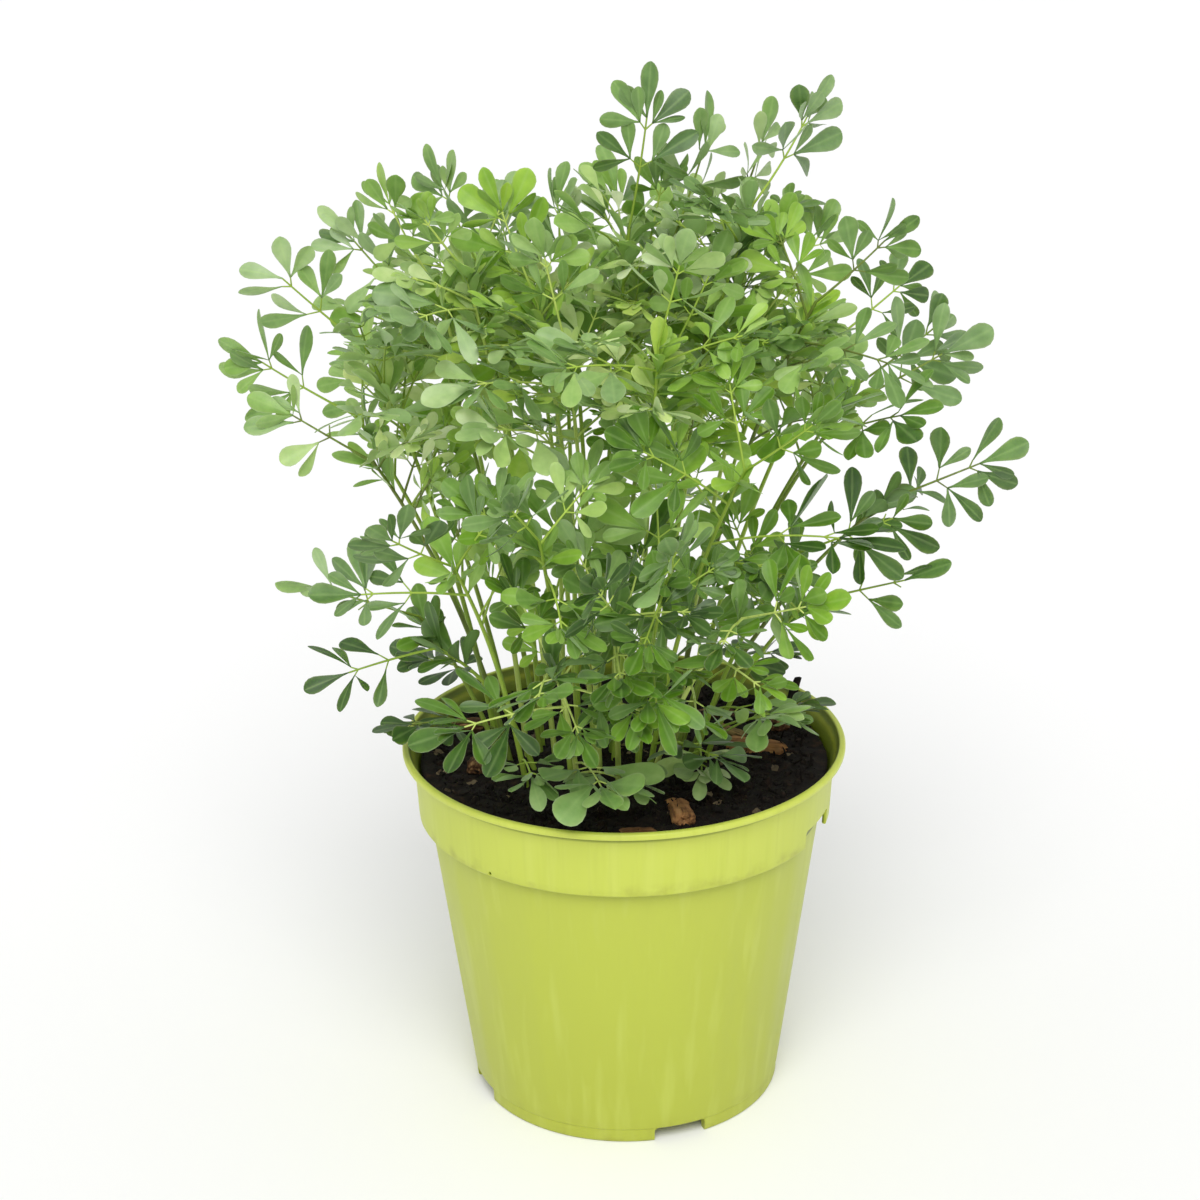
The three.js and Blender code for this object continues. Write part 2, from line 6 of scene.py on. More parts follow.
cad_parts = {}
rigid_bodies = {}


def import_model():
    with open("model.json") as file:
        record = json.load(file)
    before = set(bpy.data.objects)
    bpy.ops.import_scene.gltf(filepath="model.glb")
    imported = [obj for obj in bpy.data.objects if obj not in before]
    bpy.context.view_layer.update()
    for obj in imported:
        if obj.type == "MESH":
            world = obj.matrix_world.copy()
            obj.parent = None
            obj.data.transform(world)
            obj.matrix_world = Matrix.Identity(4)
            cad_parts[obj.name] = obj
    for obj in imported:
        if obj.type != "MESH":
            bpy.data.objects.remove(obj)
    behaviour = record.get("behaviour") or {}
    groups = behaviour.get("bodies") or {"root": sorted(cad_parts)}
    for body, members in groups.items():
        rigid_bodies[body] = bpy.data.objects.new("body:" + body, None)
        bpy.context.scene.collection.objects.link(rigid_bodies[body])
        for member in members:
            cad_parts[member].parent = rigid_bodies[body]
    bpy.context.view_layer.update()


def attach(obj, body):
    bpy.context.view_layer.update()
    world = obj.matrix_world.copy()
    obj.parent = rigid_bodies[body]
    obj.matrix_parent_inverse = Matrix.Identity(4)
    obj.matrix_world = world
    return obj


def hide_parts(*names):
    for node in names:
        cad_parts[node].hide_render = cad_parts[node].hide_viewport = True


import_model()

# Camera. It stands three quarters of a metre in front of the pot's axis, above the bush, and
# looks down at it. Its place is in metres, and the focal length goes with a 1200 x 1200 image.
CAMERA_PLACE = (0.0, -0.771, 0.466)
CAMERA_PITCH = radians(21.36)
CAMERA_YAW = radians(-0.52)
CAMERA_ROLL = radians(-0.68)
FOCAL_PIXELS = 2668
IMAGE_SIDE = 1200
SENSOR_WIDTH = 36.0
FARTHEST_SEEN = 60.0

ahead = Vector((
    sin(CAMERA_YAW) * cos(CAMERA_PITCH),
    cos(CAMERA_YAW) * cos(CAMERA_PITCH),
    -sin(CAMERA_PITCH),
))
level_right = Vector((cos(CAMERA_YAW), -sin(CAMERA_YAW), 0.0))
level_up = level_right.cross(ahead)
camera_right = level_right * cos(CAMERA_ROLL) + level_up * sin(CAMERA_ROLL)
camera_up = level_up * cos(CAMERA_ROLL) - level_right * sin(CAMERA_ROLL)

camera_data = bpy.data.cameras.new("camera")
camera_data.sensor_width = SENSOR_WIDTH
camera_data.lens = FOCAL_PIXELS / IMAGE_SIDE * SENSOR_WIDTH
camera_data.clip_end = FARTHEST_SEEN
camera = bpy.data.objects.new("camera", camera_data)
turn = Matrix((camera_right, camera_up, -ahead)).transposed().to_4x4()
camera.matrix_world = Matrix.Translation(CAMERA_PLACE) @ turn
bpy.context.scene.collection.objects.link(camera)
bpy.context.scene.camera = camera

# Studio. A plain pale floor, a bright even surround, and one broad soft light from above,
# which falls on the front of the bush.
FLOOR_HALF_SIDE = 40.0
SURROUND_STRENGTH = 0.60
BROAD_LIGHT_STRENGTH = 2.0
BROAD_LIGHT_ANGLE = radians(38)
BROAD_LIGHT_FROM = (0.0, -0.92, 1.10)


def linear(*colour):
    """A colour given as 0 to 255, as the light values that a shader takes."""
    def one(share):
        return share / 12.92 if share <= 0.04045 else ((share + 0.055) / 1.055) ** 2.4
    return (*(one(value / 255) for value in colour), 1.0)


def give(tree, node, sockets):
    """Gives each named socket of a node a plain value, or a link from another socket."""
    for socket, value in sockets.items():
        if isinstance(value, bpy.types.NodeSocket):
            tree.links.new(value, node.inputs[socket])
        else:
            node.inputs[socket].default_value = value


def put(tree, kind, sockets=None, **options):
    """Adds a node with its options and what its sockets are given."""
    node = tree.nodes.new(kind)
    for option, value in options.items():
        setattr(node, option, value)
    give(tree, node, sockets or {})
    return node


def worked(tree, operation, *values):
    """A sum of values, or another operation on them."""
    return put(tree, "ShaderNodeMath", dict(enumerate(values)), operation=operation).outputs[0]


def new_finish(name):
    """A material with its node tree and its shader."""
    material = bpy.data.materials.new(name)
    material.use_nodes = True
    tree = material.node_tree
    return material, tree, tree.nodes["Principled BSDF"]


def own_place(tree):
    """Where a point is in the piece's own coordinates, which are those of the whole part."""
    return put(tree, "ShaderNodeTexCoord").outputs["Object"]


def kept_value(tree, name, output="Fac"):
    """What the mesh keeps for its shader under a name: one value (Fac) or three (Vector)."""
    return put(tree, "ShaderNodeAttribute", attribute_name=name).outputs[output]


def ramp(tree, factor, stops):
    """Colours along a scale: each stop is a place and a colour given as 0 to 255."""
    node = put(tree, "ShaderNodeValToRGB", {"Fac": factor})
    elements = node.color_ramp.elements
    while len(elements) < len(stops):
        elements.new(0.5)
    for element, (place, *colour) in zip(elements, stops):
        element.position = place
        element.color = linear(*colour)
    return node.outputs["Color"]


def blend_colours(tree, factor, first, second):
    """Mixes two colours."""
    return put(tree, "ShaderNodeMix", {0: factor, 6: first, 7: second}, data_type="RGBA").outputs[2]


def tinted(tree, colour, factor, *tint):
    """A colour with some of a tint in it, which is given as 0 to 255."""
    return blend_colours(tree, factor, colour, linear(*tint))


def rescale(tree, value, low, high, new_low=0.0, new_high=1.0):
    """Maps a value from one range to another, and keeps it inside."""
    return put(tree, "ShaderNodeMapRange", {
        "Value": value, "From Min": low, "From Max": high, "To Min": new_low, "To Max": new_high,
    }).outputs["Result"]


def grainy(tree, where, scale, detail=3.0, stretch=None):
    """Soft noise at a scale per metre, with the pattern stretched where asked."""
    if stretch:
        where = put(tree, "ShaderNodeMapping", {"Vector": where, "Scale": stretch}).outputs["Vector"]
    return put(tree, "ShaderNodeTexNoise", {"Vector": where, "Scale": scale, "Detail": detail}).outputs["Fac"]


def relief(tree, height, strength, depth):
    """The way a surface faces with fine relief on it."""
    bump = put(tree, "ShaderNodeBump", {"Height": height, "Strength": strength, "Distance": depth})
    return bump.outputs["Normal"]


def from_axis(tree, place):
    """How far a place is from the pot's axis."""
    level = put(tree, "ShaderNodeVectorMath", {0: place, 1: (1.0, 1.0, 0.0)}, operation="MULTIPLY").outputs[0]
    return put(tree, "ShaderNodeVectorMath", {0: level}, operation="LENGTH").outputs["Value"]


def plain_mesh(name, corners, faces, edges=(), flat=False):
    """A mesh of corners in metres, shaded smoothly unless its faces are to look flat."""
    mesh = bpy.data.meshes.new(name)
    mesh.from_pydata(corners, edges, faces, flat)
    return mesh


def new_piece(name, data):
    """Makes one object of a mesh or a light, and links it to the scene."""
    piece = bpy.data.objects.new(name, data)
    bpy.context.scene.collection.objects.link(piece)
    return piece


floor_finish, tree, shader = new_finish("studio_floor")
cloudy = grainy(tree, own_place(tree), 1.5)
give(tree, shader, {
    "Base Color": ramp(tree, cloudy, [(0.3, 247, 247, 247), (0.7, 249.3, 249.3, 249.3)]),
    "Roughness": 0.9,
    "Specular IOR Level": 0.1,
})
floor_corners = [
    (x * FLOOR_HALF_SIDE, y * FLOOR_HALF_SIDE, 0.0)
    for x, y in ((-1, -1), (1, -1), (1, 1), (-1, 1))
]
studio_floor = new_piece("studio_floor", plain_mesh("floor", floor_corners, [(0, 1, 2, 3)]))
studio_floor.data.materials.append(floor_finish)

world = bpy.data.worlds.new("surround")
world.use_nodes = True
give(world.node_tree, world.node_tree.nodes["Background"], {
    "Color": (1.0, 1.0, 1.0, 1.0), "Strength": SURROUND_STRENGTH,
})
bpy.context.scene.world = world
bpy.context.scene.view_settings.view_transform = "Standard"

lamp = bpy.data.lights.new("broad_light", "SUN")
lamp.energy = BROAD_LIGHT_STRENGTH
lamp.angle = BROAD_LIGHT_ANGLE
broad_light = new_piece("broad_light", lamp)
broad_light.rotation_euler = (-Vector(BROAD_LIGHT_FROM)).to_track_quat("-Z", "Y").to_euler()

# Pot. One moulded piece of thin lime green plastic: a tapered body on a notched foot ring,
# and a deep collar that hangs over the body as a hollow skirt below a rounded lip.
MM = 0.001
POT_SIDES = 192
POT_HEIGHT = 118.0
FOOT_RADIUS = 49.5
FLOOR_UNDERSIDE = 5.0
FLOOR_TOP = 6.8
BODY_TOP_RADIUS = 62.2
COLLAR_FOOT_RADIUS = 65.3
COLLAR_FOOT_HEIGHT = 95.0
LIP_RADIUS = 70.0
NOTCH_DEPTH = 6.0
FOOT_NOTCHES = [(-70.0 + 90.0 * i, 17.0, 4.6) for i in range(4)]
SKIRT_NOTCH = (-23.5, 19.0, 6.0)
DRAIN_HOLES = [(36.0, -25.0 + 90.0 * i, 4.5) for i in range(4)]
FLUTE_COUNT = 24
FLUTE_DEPTH = 0.10
FLUTES_TOP = 97.0
PIN_MARK = (-128.5, 95.6, 0.55)


def arc(centre, radius, start, end, steps):
    """Points of a rounding in a profile, with its angles in degrees."""
    angles = [radians(start + (end - start) * i / steps) for i in range(steps + 1)]
    return [(centre[0] + radius * cos(angle), centre[1] + radius * sin(angle)) for angle in angles]


def straight(first, last, steps):
    """Points between two points of a profile, without the ends."""
    return [
        (first[0] + (last[0] - first[0]) * i / steps, first[1] + (last[1] - first[1]) * i / steps)
        for i in range(1, steps)
    ]


def ring_faces(rings, sides, first=0):
    """The quads that join each ring of corners to the next."""
    faces = []
    for ring in range(rings - 1):
        for side in range(sides):
            after = (side + 1) % sides
            here = first + ring * sides
            faces.append((here + side, here + after, here + after + sides, here + side + sides))
    return faces


def fan_faces(ring, sides, middle, upwards=True):
    """The triangles that close the ring which starts at a corner, round its middle corner."""
    pairs = [(ring + side, ring + (side + 1) % sides) for side in range(sides)]
    return [(*pair, middle) if upwards else (pair[1], pair[0], middle) for pair in pairs]


def capped_faces(rings, sides, first=0):
    """The faces of a closed bar: its sides, and the first and last ring as its ends."""
    last = first + (rings - 1) * sides
    ends = [tuple(reversed(range(first, first + sides))), tuple(range(last, last + sides))]
    return ring_faces(rings, sides, first) + ends


def settled_mesh(piece, name):
    """The piece's mesh with its modifiers carried out."""
    ready = piece.evaluated_get(bpy.context.evaluated_depsgraph_get())
    mesh = bpy.data.meshes.new_from_object(ready)
    mesh.name = name
    return mesh


inner_foot = FOOT_RADIUS - 3.0
pot_profile = [(10.0, FLOOR_UNDERSIDE), (30.0, FLOOR_UNDERSIDE), (inner_foot, FLOOR_UNDERSIDE)]
# The foot ring, and the body up to the collar.
pot_profile += straight((inner_foot, FLOOR_UNDERSIDE), (inner_foot, 0.4), 2)
pot_profile += arc((FOOT_RADIUS - 2.6, 0.4), 0.4, 180, 270, 2)
pot_profile += arc((FOOT_RADIUS - 0.9, 0.9), 0.9, 270, 357, 3)
pot_profile += [(FOOT_RADIUS + 0.1, 4.6), (FOOT_RADIUS + 0.45, 5.0)]
pot_profile += straight((FOOT_RADIUS + 0.5, 5.2), (BODY_TOP_RADIUS - 0.2, 94.0), 26)
pot_profile += [(BODY_TOP_RADIUS, 96.0), (BODY_TOP_RADIUS + 0.3, 102.6), (BODY_TOP_RADIUS + 0.7, 103.0)]
# The hollow skirt of the collar, and the collar up to the lip.
pot_profile += [(64.1, 103.0), (64.4, 102.6), (64.1, 96.0)]
pot_profile += arc((COLLAR_FOOT_RADIUS - 0.75, COLLAR_FOOT_HEIGHT + 0.5), 0.5, 180, 270, 2)
pot_profile += arc((COLLAR_FOOT_RADIUS - 0.5, COLLAR_FOOT_HEIGHT + 0.6), 0.6, 270, 357, 3)
pot_profile += straight((COLLAR_FOOT_RADIUS + 0.1, COLLAR_FOOT_HEIGHT + 0.9), (66.4, 112.8), 6)
# The rounded lip.
pot_profile += arc((LIP_RADIUS - 2.0, POT_HEIGHT - 3.9), 1.45, 175, 92, 4)
pot_profile += arc((LIP_RADIUS - 0.7, POT_HEIGHT - 1.5), 0.7, 280, 360, 3)
pot_profile += arc((LIP_RADIUS - 0.9, POT_HEIGHT - 0.9), 0.9, 0, 90, 5)
pot_profile += arc((LIP_RADIUS - 1.4, POT_HEIGHT - 0.7), 0.7, 95, 170, 4)
# The inside of the collar and of the body, and the top of the floor.
pot_profile += [(67.2, 115.8), (65.8, 113.6), (65.1, 110.0), (64.1, 106.0), (63.2, 104.2), (61.0, 102.6)]
pot_profile += straight((60.7, 101.0), (48.4, 9.0), 8)
pot_profile += [*arc((46.4, 8.6), 1.8, 0, -90, 4), (30.0, FLOOR_TOP), (10.0, FLOOR_TOP)]


def body_flutes(radius, height, angle):
    """The body's faint upright flutes, which fade out at its foot and under the collar."""
    if not FLOOR_UNDERSIDE < height < FLUTES_TOP or radius < 48.5 + 0.09 * height:
        return 0.0
    fade = min(1.0, (height - FLOOR_UNDERSIDE) / 12.0, (FLUTES_TOP - height) / 4.0)
    wave = cos(FLUTE_COUNT * angle) + 0.6 * cos(5 * angle + 1.0) * cos(41 * angle)
    return FLUTE_DEPTH * fade * wave


def turned_pot():
    """The pot, turned from its profile about its axis and closed above and below its floor."""
    corners = []
    for radius, height in pot_profile:
        for side in range(POT_SIDES):
            angle = 2 * pi * side / POT_SIDES
            wide = radius + body_flutes(radius, height, angle)
            corners.append((wide * cos(angle) * MM, wide * sin(angle) * MM, height * MM))
    last = len(corners)
    corners += [(0.0, 0.0, FLOOR_UNDERSIDE * MM), (0.0, 0.0, FLOOR_TOP * MM)]
    faces = ring_faces(len(pot_profile), POT_SIDES)
    faces += fan_faces(0, POT_SIDES, last, False) + fan_faces(last - POT_SIDES, POT_SIDES, last + 1)
    return plain_mesh("pot_wall", corners, faces)


def cutter(radius, degrees, half_depth, half_width, low, high, rounding=1.2):
    """A block with rounded upper corners that cuts a notch through a ring of the pot."""
    outline = [(-half_width, low), (half_width, low)]
    outline += arc((half_width - rounding, high - rounding), rounding, 0, 90, 3)
    outline += arc((-half_width + rounding, high - rounding), rounding, 90, 180, 3)
    turn = Matrix.Rotation(radians(degrees), 3, "Z")
    corners = [
        turn @ Vector((radius + depth, across, up)) * MM
        for depth in (-half_depth, half_depth) for across, up in outline
    ]
    return plain_mesh("cutter", corners, capped_faces(2, len(outline)))


def drill(ring, degrees, radius, low=3.0, high=9.0, sides=24):
    """A round bar that cuts a drain hole through the pot's floor."""
    middle = Matrix.Rotation(radians(degrees), 3, "Z") @ Vector((ring, 0.0, 0.0))
    corners = [
        (middle + Vector((*point, height))) * MM
        for height in (low, high) for point in arc((0.0, 0.0), radius, 0, 360, sides)[:-1]
    ]
    return plain_mesh("drill", corners, capped_faces(2, sides))


def cut_away(piece, cutters):
    """Cuts every cutter out of the piece, whose mesh is then plain again."""
    for mesh in cutters:
        block = new_piece("cutter", mesh)
        cut = piece.modifiers.new("cut", "BOOLEAN")
        cut.operation = "DIFFERENCE"
        cut.solver = "EXACT"
        cut.object = block
        piece.data = settled_mesh(piece, piece.data.name)
        piece.modifiers.clear()
        bpy.data.objects.remove(block)


def smooth_but_sharp(mesh, degrees):
    """Smooth shading, with edges kept crisp where faces meet at more than an angle."""
    mesh.shade_smooth()
    mesh.set_sharp_from_angle(angle=radians(degrees))


pot_shell = new_piece("pot_shell", turned_pot())
skirt_turn, skirt_width, skirt_height = SKIRT_NOTCH
pin_turn, pin_height, pin_radius = PIN_MARK
cut_away(pot_shell, [
    *(
        cutter(FOOT_RADIUS, turn, NOTCH_DEPTH, width / 2, -3.0, height)
        for turn, width, height in FOOT_NOTCHES
    ),
    cutter(65.5, skirt_turn, 2.3, skirt_width / 2, 90.0, COLLAR_FOOT_HEIGHT + skirt_height),
    *(drill(*hole) for hole in DRAIN_HOLES),
    cutter(65.6, pin_turn, 1.2, pin_radius, pin_height, pin_height + 2 * pin_radius, 0.5),
])
smooth_but_sharp(pot_shell.data, 32)

pot_plastic, tree, shader = new_finish("lime_plastic")
place = own_place(tree)
height = put(tree, "ShaderNodeSeparateXYZ", {"Vector": place}).outputs["Z"]
streaks = grainy(tree, place, 210.0, 2.0, (1.0, 1.0, 0.035))
fine_streaks = grainy(tree, place, 620.0, 2.0, (1.0, 1.0, 0.02))
clouds = grainy(tree, place, 26.0, 4.0)
plastic = ramp(tree, height, [
    (0.0, 172, 180, 61), (0.06, 181, 191, 68), (0.094, 186, 196, 73),
    (0.097, 196, 207, 82), (0.118, 201, 212, 88),
])
streaked = tinted(tree, plastic, rescale(tree, streaks, 0.52, 0.75, 0.0, 0.24), 212, 222, 120)
streaked = tinted(tree, streaked, rescale(tree, fine_streaks, 0.5, 0.8, 0.0, 0.22), 176, 186, 70)
streaked = tinted(tree, streaked, rescale(tree, clouds, 0.35, 0.75, 0.0, 0.25), 186, 200, 74)
# A blotchy darker tint in a band round the collar's seam and near the pot's foot.
from_seam = worked(tree, "ABSOLUTE", worked(tree, "SUBTRACT", height, (COLLAR_FOOT_HEIGHT + 1.5) * MM))
near_seam = rescale(tree, from_seam, 0.0, 0.0035, 1.0, 0.0)
near_foot = rescale(tree, height, 0.001, 0.009, 1.0, 0.0)
dark_blotches = rescale(tree, grainy(tree, place, 120.0, 5.0), 0.52, 0.74, 0.0, 0.45)
seam_and_foot_darkening = worked(tree, "MULTIPLY", worked(tree, "MAXIMUM", near_seam, near_foot), dark_blotches)
darkened_near_seam_and_foot = tinted(tree, streaked, seam_and_foot_darkening, 132, 126, 48)
# Halfway through the collar's wall at each height: what is nearer to the axis is the pot's inside,
# which is painted deep olive as painted shade: the inner wall, and the hollow between the skirt and the body.
wall_middle = worked(
    tree, "ADD",
    rescale(tree, height, 0.104, 0.113, 0.0648, 0.06605), rescale(tree, height, 0.113, 0.1165, 0.0, 0.0021),
)
inside = rescale(tree, worked(tree, "SUBTRACT", wall_middle, from_axis(tree, place)), -0.0002, 0.0003)
over_skirt_foot = rescale(tree, height, 0.0951, 0.0955, 0.0, 0.86)
# Painted shade: the pot's inside and the hollow under the skirt are tinted deep olive.
painted_inside_shade = tinted(tree, darkened_near_seam_and_foot, worked(tree, "MULTIPLY", inside, over_skirt_foot), 92, 106, 12)
give(tree, shader, {
    "Base Color": painted_inside_shade,
    "Roughness": rescale(tree, clouds, 0.3, 0.7, 0.36, 0.50),
    "Specular IOR Level": 0.42,
    "Subsurface Weight": 0.12,
    "Subsurface Radius": (0.004, 0.0045, 0.001),
    "Subsurface Scale": 1.0,
    "Normal": relief(tree, streaks, 0.25, 0.0002),
})
pot_shell.data.materials.append(pot_plastic)
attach(pot_shell, "root")
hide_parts("pot")

# Compost. Dark peat, pressed in by hand to a few millimetres under the rim. Its surface is
# all crumbs, short fibres and a few pale specks, which lie loose on it.
SOIL_FOOT = 7.2
SOIL_TOP = 111.0
SOIL_DOME = 0.8
SOIL_RELIEF = 0.8
SOIL_REACH = 64.4
SOIL_RINGS = 60
SOIL_SPOKES = 168
CRUMB_RISE = 1.1
CRUMB_SIDES = 6
CRUMB_LAYERS = [(0.55, -0.75), (1.0, -0.15), (0.85, 0.5)]
CRUMB_SHAPES = [(1.0, 1.0, 0.8), (1.3, 0.8, 0.6), (0.8, 1.1, 1.0), (3.6, 0.30, 0.28)]
CRUMBS_PER_SQUARE_METRE = 240000.0
SMALLEST_CRUMB = 0.7
LARGEST_CRUMB = 3.6
LOWEST_CRUMB = 109.5
FARTHEST_CRUMB = 60.5
CRUMB_SEED = 11
STICK_FOOT = (52.0, 33.0, 106.0)
STICK_TOP = (57.5, 37.0, 122.0)
STICK_WIDTH = 4.4
STICK_RINGS = 9
STICK_SIDES = 10


def soil_height(x, y):
    """Height of the compost's lumpy surface, as it is in the solid."""
    lumps = sin(0.13 * x + 1.1) * cos(0.17 * y - 0.4) + 0.6 * sin(0.29 * y + 0.21 * x)
    rim = min(1.0, hypot(x, y) / COLLAR_FOOT_RADIUS)
    return SOIL_TOP + SOIL_DOME * (1 - rim * rim) + SOIL_RELIEF * lumps * (1 - rim ** 3)


def crumbly_height(x, y):
    """The same surface with its crumbs."""
    at = Vector((x, y, 0.0))
    coarse = noise.fractal(at * 0.22, 0.8, 2.1, 4)
    fine = abs(noise.noise(at * 0.9 + Vector((7.0, 0.0, 3.0))))
    return soil_height(x, y) + CRUMB_RISE * (0.9 * coarse + 0.8 * fine) - 0.3


def stick_parts(first):
    """A splinter of dark wood that stands in the compost at the back right, thin at its top."""
    corners = []
    for ring in range(STICK_RINGS):
        share = ring / (STICK_RINGS - 1)
        middle = [STICK_FOOT[i] + (STICK_TOP[i] - STICK_FOOT[i]) * share for i in range(3)]
        wide = STICK_WIDTH * (1 - 0.45 * share) * (1 + 0.3 * noise.noise((share * 4.0, 2.0, 0.0)))
        for side in range(STICK_SIDES):
            angle = 2 * pi * side / STICK_SIDES
            rough = 1 + 0.3 * noise.noise((side * 1.3, share * 2.0, 5.0))
            corners.append((
                middle[0] + 0.5 * wide * rough * cos(angle),
                middle[1] + 0.3 * wide * rough * sin(angle),
                middle[2] + 1.2 * share * noise.noise((side * 2.0, 3.0, 1.0)),
            ))
    return corners, capped_faces(STICK_RINGS, STICK_SIDES, first)


def soil_mesh():
    """A closed block that fills the pot, with fine rings on its crumbly top, and the splinter."""
    side_profile = [(46.6, SOIL_FOOT), (59.4, 102.2), (62.6, 107.5), (64.0, 110.2)]
    corners = []
    for radius, height in side_profile:
        for spoke in range(SOIL_SPOKES):
            angle = 2 * pi * spoke / SOIL_SPOKES
            corners.append((radius * cos(angle), radius * sin(angle), height))
    for ring in range(SOIL_RINGS):
        radius = SOIL_REACH * (1 - ring / SOIL_RINGS)
        for spoke in range(SOIL_SPOKES):
            angle = 2 * pi * (spoke + 0.5 * noise.noise((spoke * 1.7, radius, 0.0))) / SOIL_SPOKES
            x = radius * cos(angle)
            y = radius * sin(angle)
            corners.append((x, y, crumbly_height(x, y)))
    middle = len(corners)
    corners += [(0.0, 0.0, crumbly_height(0.0, 0.0)), (0.0, 0.0, SOIL_FOOT)]
    faces = ring_faces(len(side_profile) + SOIL_RINGS, SOIL_SPOKES)
    top = fan_faces(middle - SOIL_SPOKES, SOIL_SPOKES, middle)
    underside = fan_faces(0, SOIL_SPOKES, middle + 1, False)
    faces += [face for pair in zip(top, underside) for face in pair]
    stick_corners, stick_faces = stick_parts(len(corners))
    corners = [(x * MM, y * MM, z * MM) for x, y, z in corners + stick_corners]
    return plain_mesh("compost", corners, faces + stick_faces)


def new_tree(name, inputs):
    """A Geometry Nodes tree that takes a geometry and named inputs, and returns a geometry."""
    tree = bpy.data.node_groups.new(name, "GeometryNodeTree")
    tree.interface.new_socket("Geometry", in_out="OUTPUT", socket_type="NodeSocketGeometry")
    for label, kind in [("Geometry", "Geometry"), *inputs]:
        tree.interface.new_socket(label, in_out="INPUT", socket_type=f"NodeSocket{kind}")
    return tree, tree.nodes.new("NodeGroupInput").outputs


def plain_result(tree, first, second):
    """Joins two geometries, and makes plain meshes of what is set on them."""
    joined = put(tree, "GeometryNodeJoinGeometry")
    for geometry in (first, second):
        tree.links.new(geometry, joined.inputs[0])
    return put(tree, "GeometryNodeRealizeInstances", {0: joined.outputs[0]}).outputs[0]


def end_tree(tree, geometry):
    """Links the tree's result to its output."""
    made = tree.nodes.new("NodeGroupOutput")
    tree.links.new(geometry, made.inputs[0])


def grow(piece, tree, values, name):
    """Runs a tree on a piece with its inputs set, and leaves the piece with the plain result."""
    modifier = piece.modifiers.new(tree.name, "NODES")
    modifier.node_group = tree
    for item in tree.interface.items_tree:
        if item.in_out == "INPUT" and item.name in values:
            modifier[item.identifier] = values[item.name]
    piece.data = settled_mesh(piece, name)
    piece.modifiers.clear()


def form_collection(name, build, shapes):
    """The forms that a tree picks from: a mesh is built of each shape."""
    forms = bpy.data.collections.new(name)
    bpy.context.scene.collection.children.link(forms)
    for number, shape in enumerate(shapes):
        mesh = build(number, shape)
        forms.objects.link(bpy.data.objects.new(mesh.name, mesh))
    return forms


def drop_forms(forms):
    """Takes the forms out again once they have been set."""
    for form in list(forms.objects):
        bpy.data.objects.remove(form)
    bpy.data.collections.remove(forms)


def crumb_mesh(number, shape):
    """One lump of peat or short fibre, about one unit across."""
    corners = []
    for layer, (width, lift) in enumerate(CRUMB_LAYERS):
        for side in range(CRUMB_SIDES):
            angle = pi * (side + 0.5 * (layer % 2)) / 3
            rough = 1 + 0.35 * noise.noise((number * 3.1 + side, layer * 1.7, 0.4))
            corners.append((
                0.5 * shape[0] * width * rough * cos(angle),
                0.5 * shape[1] * width * rough * sin(angle),
                0.5 * shape[2] * lift * rough,
            ))
    last = len(corners)
    corners += [(0.0, 0.0, -0.5 * shape[2]), (0.06, 0.04, 0.46 * shape[2])]
    faces = ring_faces(len(CRUMB_LAYERS), CRUMB_SIDES)
    faces += fan_faces(0, CRUMB_SIDES, last, False) + fan_faces(last - CRUMB_SIDES, CRUMB_SIDES, last + 1)
    return plain_mesh(f"crumb_{number}", corners, faces, flat=True)


def compared(tree, first, operation, second):
    """Whether a value is greater than another, or less than it."""
    return put(tree, "FunctionNodeCompare", {0: first, 1: second}, operation=operation).outputs[0]


def strewn_tree(peat):
    """Strews forms over the high faces of a piece, each turned and sized by chance."""
    tree, given = new_tree("strewn_crumbs", [
        ("Forms", "Collection"), ("Crumbs per square metre", "Float"), ("Smallest", "Float"),
        ("Largest", "Float"), ("Lowest place", "Float"), ("Farthest place", "Float"), ("Seed", "Int"),
    ])
    spot = put(tree, "GeometryNodeInputPosition").outputs[0]
    height = put(tree, "ShaderNodeSeparateXYZ", {0: spot}).outputs["Z"]
    chosen = put(tree, "FunctionNodeBooleanMath", {
        0: compared(tree, height, "GREATER_THAN", given["Lowest place"]),
        1: compared(tree, from_axis(tree, spot), "LESS_THAN", given["Farthest place"]),
    }, operation="AND")
    points = put(tree, "GeometryNodeDistributePointsOnFaces", {
        "Mesh": given["Geometry"], "Selection": chosen.outputs[0],
        "Density": given["Crumbs per square metre"], "Seed": given["Seed"],
    })
    turn = put(tree, "FunctionNodeRandomValue", {
        0: (-3.1, -3.1, -3.1), 1: (3.1, 3.1, 3.1), "Seed": given["Seed"],
    }, data_type="FLOAT_VECTOR")
    width = put(tree, "FunctionNodeRandomValue", {2: 0.0, 3: 1.0, "Seed": given["Seed"]}, data_type="FLOAT")
    rarely_large = worked(tree, "POWER", width.outputs[1], 3.0)
    form = put(tree, "GeometryNodeCollectionInfo", {
        "Collection": given["Forms"], "Separate Children": True, "Reset Children": True,
    })
    crumbs = put(tree, "GeometryNodeInstanceOnPoints", {
        "Points": points.outputs["Points"], "Instance": form.outputs[0], "Pick Instance": True,
        "Rotation": turn.outputs[0],
        "Scale": rescale(tree, rarely_large, 0.0, 1.0, given["Smallest"], given["Largest"]),
    })
    plain = plain_result(tree, crumbs.outputs[0], given["Geometry"])
    finished = put(tree, "GeometryNodeSetMaterial", {0: plain, "Material": peat})
    end_tree(tree, finished.outputs[0])
    return tree


